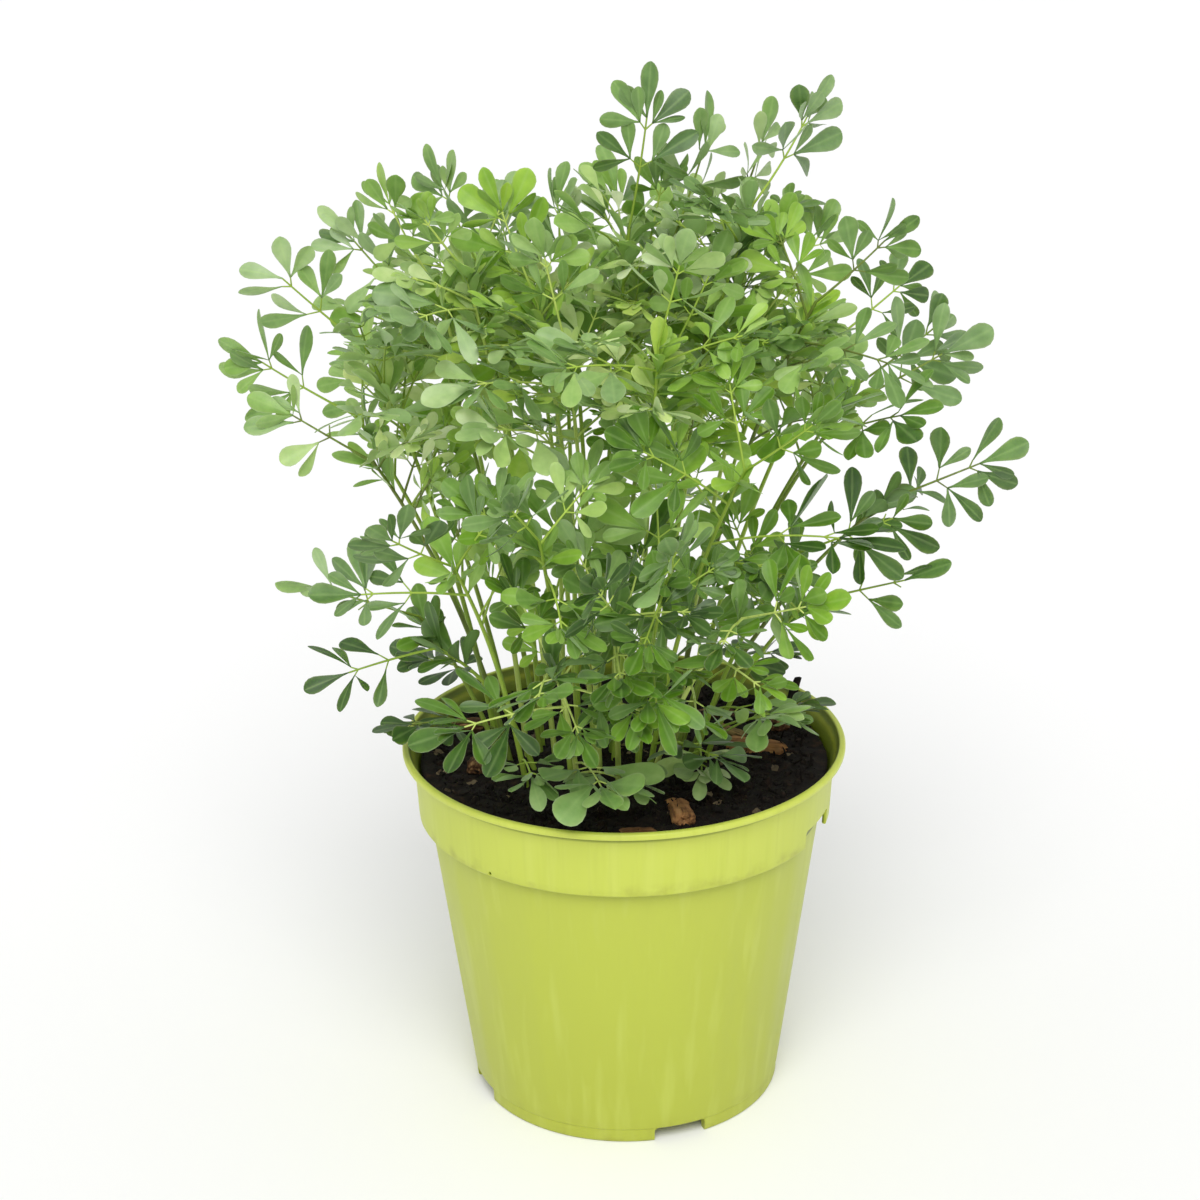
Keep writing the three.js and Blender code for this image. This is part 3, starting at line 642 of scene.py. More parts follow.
peat, tree, shader = new_finish("dark_peat")
place = own_place(tree)
lumps = grainy(tree, place, 330.0, 5.0)
patches = grainy(tree, place, 90.0)
peat_colour = ramp(tree, lumps, [
    (0.30, 12, 9, 7), (0.54, 26, 19, 14), (0.70, 52, 36, 24), (0.84, 90, 62, 40),
])
moist = tinted(tree, peat_colour, rescale(tree, patches, 0.35, 0.65, 0.0, 0.6), 20, 15, 11)
specks = put(tree, "ShaderNodeTexVoronoi", {"Vector": place, "Scale": 420.0}).outputs["Color"]
speck_pick = put(tree, "ShaderNodeSeparateColor", {0: specks}).outputs[0]
give(tree, shader, {
    "Base Color": tinted(tree, moist, rescale(tree, speck_pick, 0.982, 0.996, 0.0, 0.7), 150, 132, 104),
    "Roughness": rescale(tree, patches, 0.3, 0.7, 0.97, 0.78),
    "Specular IOR Level": 0.3,
    "Normal": relief(tree, lumps, 0.7, 0.0008),
})

compost = new_piece("compost", soil_mesh())
forms = form_collection("crumb_forms", crumb_mesh, CRUMB_SHAPES)
grow(compost, strewn_tree(peat), {
    "Forms": forms,
    "Crumbs per square metre": CRUMBS_PER_SQUARE_METRE,
    "Smallest": SMALLEST_CRUMB * MM,
    "Largest": LARGEST_CRUMB * MM,
    "Lowest place": LOWEST_CRUMB * MM,
    "Farthest place": FARTHEST_CRUMB * MM,
    "Seed": CRUMB_SEED,
}, "compost")
drop_forms(forms)
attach(compost, "root")
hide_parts("soil")

# Bark chips. Broken slabs of composted bark on the peat, with a coarse grain along them and
# torn ends. Each is its own piece; colours run from orange brown to dark and greenish brown.
CHIP_SINK = 1.6
CHIPS = [
    ((42, 4), (19, 7, 4.6), -6, 5, 0.80),
    ((34, 16), (11, 5, 3.6), -32, 6, 0.98),
    ((30, 30), (13, 6, 3.4), 14, 4, 0.25),
    ((17, -43), (17, 7, 4.8), 97, 8, 0.86),
    ((4, -55), (11, 5, 3.2), 8, 4, 0.55),
    ((50, 24), (12, 9, 5.4), 60, 10, 0.40),
    ((-50, 22), (12, 8, 4.8), 24, 8, 0.30),
    ((-46, -8), (9, 6, 4.2), 80, 6, 0.36),
]
CHIP_STATIONS = 22
CHIP_SIDES = 20


def keep_values(mesh, name, kind, values, domain="POINT"):
    """Keeps a value for each corner or edge of a mesh under a name."""
    kept = mesh.attributes.new(name, kind, domain)
    if kind == "FLOAT_VECTOR":
        kept.data.foreach_set("vector", [number for triple in values for number in triple])
    else:
        kept.data.foreach_set("value", values)


def chip_mesh(number, spot, size, turn, tilt, tone):
    """A slab built in rings along its grain, with ridges along it and ragged ends."""
    long, wide, thick = size
    corners = []
    for station in range(CHIP_STATIONS + 1):
        share = station / CHIP_STATIONS
        taper = min(1.0, 0.62 + 2.6 * min(share, 1 - share) ** 0.8)
        for side in range(CHIP_SIDES):
            angle = 2 * pi * side / CHIP_SIDES
            bulge = (abs(cos(angle)) ** 6 + abs(sin(angle)) ** 6) ** (-1 / 6)
            ridge = noise.noise((3.3 * side / CHIP_SIDES * 6, number * 5.0, share * 1.3))
            knock = noise.noise((share * 5.0, cos(angle) * 1.6 + number, sin(angle) * 1.6))
            rough = taper * (1 + 0.16 * ridge + 0.22 * knock)
            torn = 0.10 * noise.noise((side * 0.9, number * 2.0, 9.0)) * (2 * abs(share - 0.5)) ** 3
            corners.append((
                (share - 0.5 + torn * (1 if share > 0.5 else -1)) * long,
                0.5 * wide * cos(angle) * bulge * rough * 0.96,
                0.5 * thick * (1 + sin(angle) * bulge * rough * 0.92),
            ))
    middle = len(corners)
    corners += [((end - 0.5) * long * 0.9, 0.0, 0.5 * thick) for end in (0, 1)]
    faces = [(a, d, c, b) for a, b, c, d in ring_faces(CHIP_STATIONS + 1, CHIP_SIDES)]
    faces += fan_faces(0, CHIP_SIDES, middle) + fan_faces(middle - CHIP_SIDES, CHIP_SIDES, middle + 1, False)
    turned = Matrix.Rotation(radians(turn), 4, "Z") @ Matrix.Rotation(radians(tilt), 4, "Y")
    rest = Vector((*spot, soil_height(*spot) - CHIP_SINK))
    placed = [(turned @ Vector(corner) + rest) * MM for corner in corners]
    mesh = plain_mesh(f"bark_{number:02d}", placed, faces)
    keep_values(mesh, "grain", "FLOAT_VECTOR", [(x * MM, y * MM, z * MM) for x, y, z in corners])
    keep_values(mesh, "tone", "FLOAT", [tone] * len(corners))
    smooth_but_sharp(mesh, 50)
    return mesh


bark, tree, shader = new_finish("bark")
grain = kept_value(tree, "grain", "Vector")
fibres = grainy(tree, grain, 900.0, 4.0, (0.10, 1.0, 1.0))
blotches = grainy(tree, grain, 260.0)
bark_colour = ramp(tree, kept_value(tree, "tone"), [
    (0.20, 66, 44, 28), (0.45, 98, 66, 40), (0.80, 168, 118, 70), (0.90, 184, 132, 84), (1.0, 118, 110, 66),
])
weathered = tinted(tree, bark_colour, rescale(tree, blotches, 0.45, 0.72, 0.0, 0.75), 48, 28, 18)
# Paler on the raised fibres and darker in the hollows between them, where the bump is low: painted highlight
# and painted shade over the bark's grain.
lit = tinted(tree, weathered, rescale(tree, fibres, 0.5, 0.78, 0.0, 0.7), 210, 164, 112)
give(tree, shader, {
    "Base Color": tinted(tree, lit, rescale(tree, fibres, 0.46, 0.28, 0.0, 0.85), 30, 17, 10),
    "Roughness": 0.85,
    "Specular IOR Level": 0.25,
    "Normal": relief(tree, fibres, 0.9, 0.0007),
})

for number, row in enumerate(CHIPS, 1):
    chip = new_piece(f"bark_{number:02d}", chip_mesh(number, *row))
    chip.data.materials.append(bark)
    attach(chip, "root")
    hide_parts(f"bark_chip_{number:02d}")

# Rue stems. Each is one grown piece: a thin stem that stands in the compost and leans out,
# with compound leaves in a spiral up it. The plan of stems and fronds is that of the solids.
ROOT_CENTRE = (-9.0, 5.0)
ROOT_SHARE = 0.30
ROOT_SCATTER = 14.0
ROOT_WIDENING = 0.05
ROOT_DEPTH = 11.0
BEND_SHARE = 0.28
CREST_SHARE = 0.62
FAR_OUT = 60.0
LEAST_CREST = 58.0
GOLDEN_ANGLE = radians(137.5)
SPRAYS = [
    (9, -6, 327, 2), (54, 0, 326, 2), (57, 18, 288, 2), (75, -12, 292, 3), (95, 0, 262, 1),
    (95, -6, 260, 1), (109, -20, 225, 1), (84, -34, 195, 1), (76, -40, 221, 0), (-65, -5, 303, 1),
    (-56, -12, 309, 3), (-48, 12, 303, 2), (-32, -8, 301, 3), (-18, 12, 296, 2), (-95, -12, 287, 2),
    (-75, 6, 293, 2), (-106, 2, 258, 1), (-95, -24, 246, 0), (-90, -24, 193, 0), (-86, -40, 168, 0),
    (-60, -80, 226, 1), (-26, -97, 187, 3), (18, -93, 223, 3), (50, -74, 256, 2), (89, 50, 265, 0),
    (62, 76, 248, 1), (24, 88, 226, 2), (-22, 86, 252, 2), (25, 8, 317, 1), (-86, 56, 238, 1),
    (42, 14, 315, 1), (-28, -82, 235, 2), (51, -84, 205, 0), (-3, -95, 209, 2),
]
MIDDLE_COUNT = 8
MIDDLE_SPREAD = 50.0
MIDDLE_SHIFT = 4.0
MIDDLE_HEIGHT = 298.0
MIDDLE_SLOPE = 0.22
MIDDLE_UNEVEN = 18.0
MIDDLE_ROWS = 2
LOW_FRONDS = [
    (19, 200, 46), (17, 222, 44), (20, 246, 46), (21, 268, 48), (22, 290, 50), (23, 314, 46), (8, 338, 48),
    (7, 18, 38), (24, 30, 40), (29, 150, 40), (26, 95, 42),
]
SIDE_FRONDS = [(10, 44), (27, 50), (47, 54), (74, 56)]
BARE_SHARE = 0.36
LEAFLET_PAIRS = [
    {"foot": 0.36, "head": 0.41, "reach": 0.40, "angle": radians(56), "width": 0.17},
    {"foot": 0.60, "head": 0.65, "reach": 0.34, "angle": radians(44), "width": 0.165},
]
END_FOOT = 0.70
END_LEAN = 0.005
PETIOLE_SHARE = 0.30
CLEARANCE = 3.3
SAMPLE_STEP = 3.0
PLACES_TO_TRY = 30
FILL_LOW = [(262, 46), (284, 50), (300, 44), (328, 46), (350, 34)]
FILL_ROWS = 4
FILL_LENGTH = 33.0
FILL_CLEARANCE = 1.5
FILL_PLACES = 20
ARC_STEPS = 40
LEAST_UPRIGHT = 0.15
STEEPEST_FALL = -0.2
RIM_CLEAR_HEIGHT = 126
INSIDE_CLEAR_HEIGHT = 118.5
INSIDE_RADIUS = 61
HEAD_SHARE = 0.7
CROWDED = 10
# Outline of the bush's dense part as seen from the front: height, its left and its right edge.
DENSE_OUTLINE = [
    (120, -20, 42), (143, -26, 46), (158, -30, 50), (173, -34, 48), (188, -42, 36), (202, -56, 26),
    (217, -62, 28), (231, -72, 38), (245, -80, 66), (259, -84, 90), (273, -90, 84), (286, -86, 82),
    (298, -80, 66), (308, -70, 64), (322, -20, 64), (330, -10, 60),
]
SEEN_SLOPE = 0.39


def chance(stem, leaf, place, choice):
    """A repeatable number from 0 to 1 for one choice about one leaf of one stem."""
    h = (stem * 7349 + leaf * 911 + place * 131 + choice * 17 + 12345) & 0xFFFFFFFF
    h = ((h ^ (h >> 15)) * 2246822519) & 0xFFFFFFFF
    h = ((h ^ (h >> 13)) * 3266489917) & 0xFFFFFFFF
    return (h ^ (h >> 16)) / 4294967296


# Points and directions of the plan are plain triples of numbers, and these are the sums on them.
def plus(a, b, k=1.0):
    return (a[0] + b[0] * k, a[1] + b[1] * k, a[2] + b[2] * k)


def minus(a, b):
    return (a[0] - b[0], a[1] - b[1], a[2] - b[2])


def times(a, k):
    return (a[0] * k, a[1] * k, a[2] * k)


def dot(a, b):
    return a[0] * b[0] + a[1] * b[1] + a[2] * b[2]


def size_of(a):
    return sqrt(dot(a, a))


def unit(a):
    return times(a, 1 / size_of(a))


def cross(a, b):
    return (a[1] * b[2] - a[2] * b[1], a[2] * b[0] - a[0] * b[2], a[0] * b[1] - a[1] * b[0])


def turned_about(a, axis, angle):
    """A direction turned about a unit axis."""
    kept = times(axis, dot(a, axis) * (1 - cos(angle)))
    return plus(plus(kept, a, cos(angle)), cross(axis, a), sin(angle))


def square_part(a, axis):
    """What is left of a direction without its part along a unit axis."""
    return minus(a, times(axis, dot(a, axis)))


def out_from(grows, angle):
    """The direction that stands square to a growing one, turned round it by an angle."""
    across = unit(cross(grows, (0.0, 1.0, 0.0)))
    return plus(times(across, cos(angle)), cross(grows, across), sin(angle))


def leaning(grows, sideways, lean):
    """A growing direction that leans sideways by an angle."""
    return unit(plus(times(grows, cos(lean)), sideways, sin(lean)))


def along(stem, t):
    """A point of the stem, from its foot at 0 to the tip of its spray at 1."""
    s = 1 - t
    return plus(plus(times(stem["root"], s * s), stem["bend"], 2 * s * t), stem["tip"], t * t)


def heading(stem, t):
    """The way that the stem grows at a point."""
    first = times(minus(stem["bend"], stem["root"]), 2 * (1 - t))
    return unit(plus(first, minus(stem["tip"], stem["bend"]), 2 * t))


def stem_tips():
    """Where each stem's spray ends, and how many rows of side fronds it has."""
    middle = []
    for i in range(MIDDLE_COUNT):
        reach = MIDDLE_SPREAD * sqrt((i + 0.5) / MIDDLE_COUNT)
        angle = GOLDEN_ANGLE * i + 0.7
        rise = MIDDLE_HEIGHT - MIDDLE_SLOPE * reach + MIDDLE_UNEVEN * (chance(90 + i, 0, 0, 1) - 0.5)
        middle.append((reach * cos(angle) + MIDDLE_SHIFT, reach * sin(angle), rise, MIDDLE_ROWS))
    return SPRAYS + middle


def stem_arc(spray, number, place):
    """The arc of one stem for one place of its root, and where its end frond starts."""
    *tip, rows = spray
    reach = ROOT_SCATTER * (1 + ROOT_WIDENING * place)
    root = []
    for i, centre in enumerate(ROOT_CENTRE):
        scatter = chance(number, 0, place, 11 + i) - 0.5
        root.append(centre + (tip[i] - centre) * ROOT_SHARE + reach * scatter)
    bend = [root[i] + (tip[i] - root[i]) * BEND_SHARE for i in range(2)]
    crest = CREST_SHARE * (tip[2] - SOIL_TOP)
    if hypot(tip[0], tip[1]) > FAR_OUT:
        crest = max(crest, LEAST_CREST)
    stem = {
        "number": number, "rows": rows, "fronds": [],
        "root": (*root, SOIL_TOP), "bend": (*bend, SOIL_TOP + crest), "tip": tuple(tip),
    }
    stem["length"] = 0.0
    for i in range(ARC_STEPS):
        last = size_of(minus(along(stem, (i + 1) / ARC_STEPS), along(stem, i / ARC_STEPS)))
        stem["length"] += last
    stem["end_frond"] = 38 + 8 * chance(number, 0, 0, 5)
    stem["end"] = 1 - 0.92 * stem["end_frond"] / (last * ARC_STEPS)
    return stem


def on_blade(frond, u, v):
    """A point of a frond, which droops along its rib and is cupped across it."""
    lift = (frond["cup"] * v * v - frond["droop"] * u * u) / frond["length"]
    on_rib = plus(plus(frond["foot"], frond["forward"], u), frond["side"], v)
    return plus(on_rib, frond["face"], lift)


def leaflet_point(pair, length, x, y):
    """A point of a pair's leaflet, x along it and y across it, in shares of the frond."""
    c = cos(pair["angle"])
    s = sin(pair["angle"])
    middle = (pair["foot"] + pair["head"]) / 2
    return ((middle + c * x + s * y) * length, (s * x - c * y) * length)


def blade_samples(length):
    """Points spread over a frond, which keep it clear of its neighbours."""
    points = []
    rib_steps = int(length * END_FOOT / SAMPLE_STEP)
    for i in range(rib_steps + 1):
        points.append((length * END_FOOT * i / rib_steps, 0.0))
    for pair in LEAFLET_PAIRS:
        for side in (-1, 1):
            steps = int(pair["reach"] * length / SAMPLE_STEP)
            for i in range(1, steps + 1):
                share = i / steps
                edges = (-0.35 * pair["width"], 0.35 * pair["width"]) if 0.3 < share < 0.9 else (0.0,)
                for y in edges:
                    u, v = leaflet_point(pair, length, pair["reach"] * share, y)
                    points.append((u, side * v))
    end_steps = int(0.3 * length / SAMPLE_STEP)
    for i in range(1, end_steps + 1):
        u = (END_FOOT + 0.3 * i / end_steps) * length
        points += [(u, -0.055 * length), (u, 0.055 * length)]
    return points


# The points that stems and fronds have taken so far, by the cell that each is in.
taken = {}


def cube(point):
    """The cell of space that a point is in."""
    return tuple(floor(x / CLEARANCE) for x in point)


def take(point, owner, near_foot, is_stem):
    """Notes that a point belongs to a leaf or a stem."""
    taken.setdefault(cube(point), []).append((point, owner, near_foot, is_stem))


def is_taken(point, owner, near_foot, clearance):
    """Whether another leaf or stem already comes closer to a point than the clearance."""
    cx, cy, cz = cube(point)
    for x in (cx - 1, cx, cx + 1):
        for y in (cy - 1, cy, cy + 1):
            for z in (cz - 1, cz, cz + 1):
                for other, other_owner, other_foot, other_stem in taken.get((x, y, z), ()):
                    if other_owner == owner and (near_foot or other_foot or other_stem):
                        continue
                    away = minus(point, other)
                    if dot(away, away) < clearance * clearance:
                        return True
    return False


def meets_pot(point):
    """Whether a point comes too low: into the compost or, farther out, near the pot's rim."""
    inside = hypot(point[0], point[1]) <= INSIDE_RADIUS
    return point[2] < (INSIDE_CLEAR_HEIGHT if inside else RIM_CLEAR_HEIGHT)


def frond_place(stem, leaf, kind, t, full_length, aim, place):
    """One place for a frond on its stem: which way it grows, faces and bends."""
    def pick(choice):
        return chance(stem["number"], leaf, place, choice)
    grows = heading(stem, t)
    swing = 1 if place % 2 else -1
    tip_x, tip_y, _ = stem["tip"]
    if kind == "end":
        sideways = out_from(grows, pick(1) * 2 * pi)
        spread = plus(heading(stem, 1), (tip_x, tip_y, 0.0), END_LEAN)
        forward = unit(plus(spread, sideways, (0.10 + 0.02 * place) * pick(2)))
        droop = 0.10 + 0.12 * pick(3)
        outwards = unit((tip_x, tip_y, 1.0))
        face = plus((0.4 * (pick(4) - 0.5), -0.6, 0.5), outwards, 0.7)
        roll = 0.5 * (pick(6) - 0.5)
    elif kind == "low":
        angle = radians(aim) + 0.06 * place * swing
        forward = unit((cos(angle), sin(angle), 0.42 + 0.3 * pick(2)))
        droop = 0.42 + 0.1 * pick(3)
        face = (0.0, 0.0, 1.0)
        roll = 0.4 * (pick(6) - 0.5)
    else:
        angle = GOLDEN_ANGLE * leaf + 2.4 * stem["number"] + 0.42 * ((place + 1) // 2) * swing
        forward = leaning(grows, out_from(grows, angle), radians(40 + 22 * pick(2)))
        droop = 0.16 + 0.16 * pick(3)
        face = plus(unit((0.0, -0.5, 1.0)), grows, 0.3)
        roll = 0.9 * (pick(6) - 0.5)
    upright = square_part(face, forward)
    if kind != "low" and forward[2] < STEEPEST_FALL or size_of(upright) < LEAST_UPRIGHT:
        return None
    level = unit(upright)
    side = plus(times(cross(level, forward), cos(roll)), level, sin(roll))
    return {
        "kind": kind, "leaf": leaf, "length": full_length * (1 - 0.012 * place), "foot": along(stem, t),
        "forward": forward, "side": side, "face": cross(forward, side), "droop": droop,
        "cup": 0.5 * (pick(7) - 0.5),
    }


def grow_frond(
    stem, leaf, kind, t, full_length, aim=0, clearance=CLEARANCE, places=PLACES_TO_TRY, allowed=None,
):
    """Tries places for a frond until one is clear of the pot, the stems and other fronds."""
    for place in range(places):
        frond = frond_place(stem, leaf, kind, t, full_length, aim, place)
        if not frond or allowed and not allowed(on_blade(frond, 0.8 * frond["length"], 0.0)):
            continue
        points = [
            (on_blade(frond, u, v), u < PETIOLE_SHARE * frond["length"])
            for u, v in blade_samples(frond["length"])
        ]
        if any(
            meets_pot(point) or is_taken(point, stem["number"], near, clearance)
            for point, near in points
        ):
            continue
        for point, near in points:
            take(point, stem["number"], near, False)
        stem["fronds"].append(frond)
        return


def meets_chip(root):
    """Whether a root stands on a bark chip, or too near to it."""
    return any(
        hypot(root[0] - x, root[1] - y) < size[0] / 2 + CLEARANCE
        for (x, y), size, *_ in CHIPS
    )


def plan_stem(spray, number):
    """Tries places for the root of a stem until the stem is clear of the chips and other stems."""
    for place in range(PLACES_TO_TRY):
        stem = stem_arc(spray, number, place)
        if meets_chip(stem["root"]):
            continue
        steps = int(stem["length"] * stem["end"] / SAMPLE_STEP)
        points = [along(stem, stem["end"] * i / steps) for i in range(steps + 1)]
        if any(is_taken(point, number, False, CLEARANCE) for point in points):
            continue
        for point in points:
            take(point, number, False, True)
        return stem


def plan_plants():
    """All stems with the fronds that the solids have."""
    stems = [plan_stem(spray, number) for number, spray in enumerate(stem_tips())]
    for stem in stems:
        grow_frond(stem, 0, "end", stem["end"], stem["end_frond"])
    for number, aim, length in LOW_FRONDS:
        grow_frond(stems[number], 9, "low", 0.07, length, aim)
    for row, (back, length) in enumerate(SIDE_FRONDS):
        for stem in stems:
            leaf = row + 1
            t = stem["end"] - (back + 6 * chance(stem["number"], leaf, 0, 8)) / stem["length"]
            full_length = length + 6 * chance(stem["number"], leaf, 0, 9)
            if t >= BARE_SHARE and row < stem["rows"]:
                grow_frond(stem, leaf, "side", t, full_length)
    return stems


def in_dense_part(point):
    """Whether a point falls inside the outline of the bush's dense part."""
    seen = point[2] + SEEN_SLOPE * point[1]
    for lower, upper in zip(DENSE_OUTLINE, DENSE_OUTLINE[1:]):
        if lower[0] <= seen < upper[0]:
            share = (seen - lower[0]) / (upper[0] - lower[0])
            left, right = (lower[i] + (upper[i] - lower[i]) * share for i in (1, 2))
            return left < point[0] < right
    return False


def fill_start(stem):
    """How far up a stem its small fronds start: tall stems are barer than those at the front."""
    x, y, z = stem["tip"]
    if y < -60 and x > -10:
        return 0.28
    return 0.56 if z > 290 else 0.44


def fill_bush(stems):
    """Small fronds that the solids leave out, close to their neighbours."""
    for row, (aim, length) in enumerate(FILL_LOW):
        def reach(stem, row=row, aim=radians(aim)):
            way = (cos(aim), sin(aim), 0.0)
            return dot(stem["root"], way) + 9 * chance(stem["number"], row, 0, 13)
        outer = max(stems, key=reach)
        grow_frond(outer, 30 + row, "low", 0.06 + 0.05 * (row % 3), length, aim, FILL_CLEARANCE)
    for row in range(FILL_ROWS):
        leaf = 10 + row
        for stem in stems:
            number = stem["number"]
            start = fill_start(stem)
            t = stem["end"] - (stem["end"] - start) * (row + chance(number, leaf, 0, 8)) / FILL_ROWS
            full_length = FILL_LENGTH * (0.8 + 0.4 * chance(number, leaf, 0, 9))
            grow_frond(stem, leaf, "side", t, full_length, 0, FILL_CLEARANCE, FILL_PLACES, in_dense_part)


def crowding(stems):
    """How deep in the bush each frond grows: how many others stand above it or before it."""
    heads = [
        (stem["number"], frond["leaf"], on_blade(frond, HEAD_SHARE * frond["length"], 0.0))
        for stem in stems for frond in stem["fronds"]
    ]
    depths = {}
    for number, leaf, head in heads:
        over = 0
        for _, _, other in heads:
            away = minus(other, head)
            rise = away[2] - 0.4 * away[1]
            if 8 < rise < 90 and hypot(away[0], away[1] + 0.35 * rise) < 26:
                over += 1
        depths[number, leaf] = min(over / CROWDED, 1.0)
    return depths


# Rue leaflets. Soft, flat and blunt, wide near the tip and drawn out to a thin wedge at the
# foot. Six forms, one unit long and wide, differ in fold, bend, twist and outline.
LEAFLET_STATIONS = [
    (0.0, 0.09), (0.14, 0.17), (0.29, 0.38), (0.44, 0.66), (0.58, 0.89), (0.71, 1.0), (0.83, 0.93),
    (0.92, 0.70), (0.975, 0.40), (1.0, 0.12),
]
LEAFLET_ROUND = [(-1.0, 0), (-0.5, 1), (0.0, 1), (0.5, 1), (1.0, 0), (0.0, -1)]
LEAFLET_FORMS = [
    {"fold": 0.10, "bend": 0.10, "twist": 0.10, "shift": 0.00},
    {"fold": 0.22, "bend": 0.22, "twist": -0.20, "shift": 0.03},
    {"fold": -0.12, "bend": 0.30, "twist": 0.25, "shift": -0.02},
    {"fold": 0.30, "bend": -0.08, "twist": 0.05, "shift": 0.02},
    {"fold": 0.05, "bend": 0.42, "twist": -0.15, "shift": 0.00},
    {"fold": 0.16, "bend": 0.02, "twist": 0.35, "shift": 0.04},
]
LEAFLET_HALF_THICKNESS = 0.011


def leaflet_mesh(number, form):
    """One closed blade, grooved along its rib, with a crisp margin."""
    corners = []
    blade = []
    for y, wide in LEAFLET_STATIONS:
        wide *= 1 + form["shift"] * sin(9 * y)
        thick = LEAFLET_HALF_THICKNESS * (1.0 if 0 < y < 1 else 0.7)
        for x, layer in LEAFLET_ROUND:
            groove = 0.5 if x == 0 and layer == 1 else 1.0
            lift = thick * layer * groove * (1 - 0.3 * abs(x))
            lift += 0.25 * form["fold"] * abs(x) * wide
            lift -= 0.5 * form["bend"] * y * y
            lift += 0.25 * form["twist"] * x * wide * y
            corners.append((0.5 * x * wide, y, lift))
            blade.append((x, y, layer))
    around = len(LEAFLET_ROUND)
    mesh = plain_mesh(f"leaflet_{number}", corners, capped_faces(len(LEAFLET_STATIONS), around))
    keep_values(mesh, "blade", "FLOAT_VECTOR", blade)
    ends = [(edge.vertices[0] % around, edge.vertices[1] % around) for edge in mesh.edges]
    keep_values(mesh, "sharp_edge", "BOOLEAN", [pair in ((0, 0), (4, 4)) for pair in ends], "EDGE")
    return mesh


# Rue foliage. Each frond carries twigs of three leaflets on its two pairs and at its end,
# and young leaflets stand round the tip of each stem. Small fronds fill the crown.
STEM_STEPS = 22
STEM_GIRTH = (0.95, 0.48)
RACHIS_STEPS = 7
RACHIS_GIRTH = (0.42, 0.26)
TWIG_STEPS = 3
TWIG_GIRTH = (0.26, 0.20)
TWIG_SIDES = 6
FORK_SHARES = (0.09, 0.06)
LEAFLET_WIDTH = 0.40
LOW_LEAFLET_WIDTH = 0.50
LOW_LEAFLET_LENGTH = 0.96
# The three leaflets of a twig: the angle that each turns aside, and its share of the full length.
TRIPLET = [(0.0, 1.0), (radians(40), 0.74), (radians(-40), 0.74)]
END_LEAFLET_LOSS = 0.4
TALL_TIP = 285
CROWN_LEAFLETS = 20
CROWN_REACH = 24.0
LOW_CROWN_LEAFLETS = 10
LOW_CROWN_REACH = 14.0
CROWN_LEAFLET_WIDTH = 0.38
# What each corner of a stem's growth keeps for the tree and the shaders.
GROWTH_VALUES = [
    ("girth", "FLOAT"), ("tone", "FLOAT"), ("bloom", "FLOAT"), ("is_leaflet", "BOOLEAN"), ("form", "INT"),
    ("way", "FLOAT_VECTOR"), ("face", "FLOAT_VECTOR"), ("scale", "FLOAT_VECTOR"),
]


def add_corner(growth, point, girth, tone, bloom, way=(0, 1, 0), face=(0, 0, 1), scale=(1, 1, 1), form=-1):
    """A point of a twig or, where it has a form, the foot of a leaflet."""
    values = {
        "corners": times(point, MM), "girth": girth * MM, "tone": tone, "bloom": bloom,
        "is_leaflet": form >= 0, "form": max(form, 0), "way": way, "face": face, "scale": times(scale, MM),
    }
    for label, value in values.items():
        growth[label].append(value)


def add_twig(growth, points, girths, tone):
    """A twig through points, which thins from its first girth to its last."""
    first = len(growth["corners"])
    steps = len(points) - 1
    for i, point in enumerate(points):
        add_corner(growth, point, girths[0] + (girths[1] - girths[0]) * (i / steps), tone, 0.0)
    growth["edges"] += [(first + i, first + i + 1) for i in range(steps)]


def add_leaflet(growth, foot, way, face, length, broad, look, pick):
    """One leaflet, turned a little out of its frond's plane."""
    rolled = turned_about(face, way, 1.5 * (pick(21) - 0.5))
    side = cross(way, rolled)
    tip = 0.7 * (pick(22) - 0.42)
    lifted = turned_about(rolled, side, tip)
    swung = turned_about(turned_about(way, side, tip), lifted, 0.25 * (pick(23) - 0.5))
    full = length * (0.98 + 0.30 * pick(24))
    width = full * broad * (0.74 + 0.48 * pick(25))
    tone = look["tone"] + 0.30 * (pick(26) - 0.5)
    bloom = look["bloom"] + 0.4 * (pick(27) - 0.5)
    form = int(pick(28) * len(LEAFLET_FORMS)) % len(LEAFLET_FORMS)
    add_corner(growth, foot, 0.0, tone, bloom, swung, lifted, (width, full, full), form)


def blade_frame(frond, u, v, du, dv):
    """A point of the frond, the way that du, dv points there, and the way it faces."""
    by_u = plus(frond["forward"], frond["face"], -2 * frond["droop"] * u / frond["length"])
    by_v = plus(frond["side"], frond["face"], 2 * frond["cup"] * v / frond["length"])
    return on_blade(frond, u, v), unit(plus(times(by_u, du), by_v, dv)), unit(cross(by_u, by_v))


def add_triplet(growth, frond, fork, way, length, look, pick, broad):
    """Three leaflets at a fork: one straight on and one to each side, some of which are lost."""
    for number, (turn, share) in enumerate(TRIPLET):
        if pick(35 + number) < look["lost"] * (1.0 if turn else END_LEAFLET_LOSS):
            continue
        swing = turn * (0.85 + 0.4 * pick(31 + number))
        du = way[0] * cos(swing) - way[1] * sin(swing)
        dv = way[0] * sin(swing) + way[1] * cos(swing)

        def pick_here(choice, number=number):
            return pick(choice + 20 * (number + 1))
        add_leaflet(growth, *blade_frame(frond, *fork, du, dv), length * share, broad, look, pick_here)


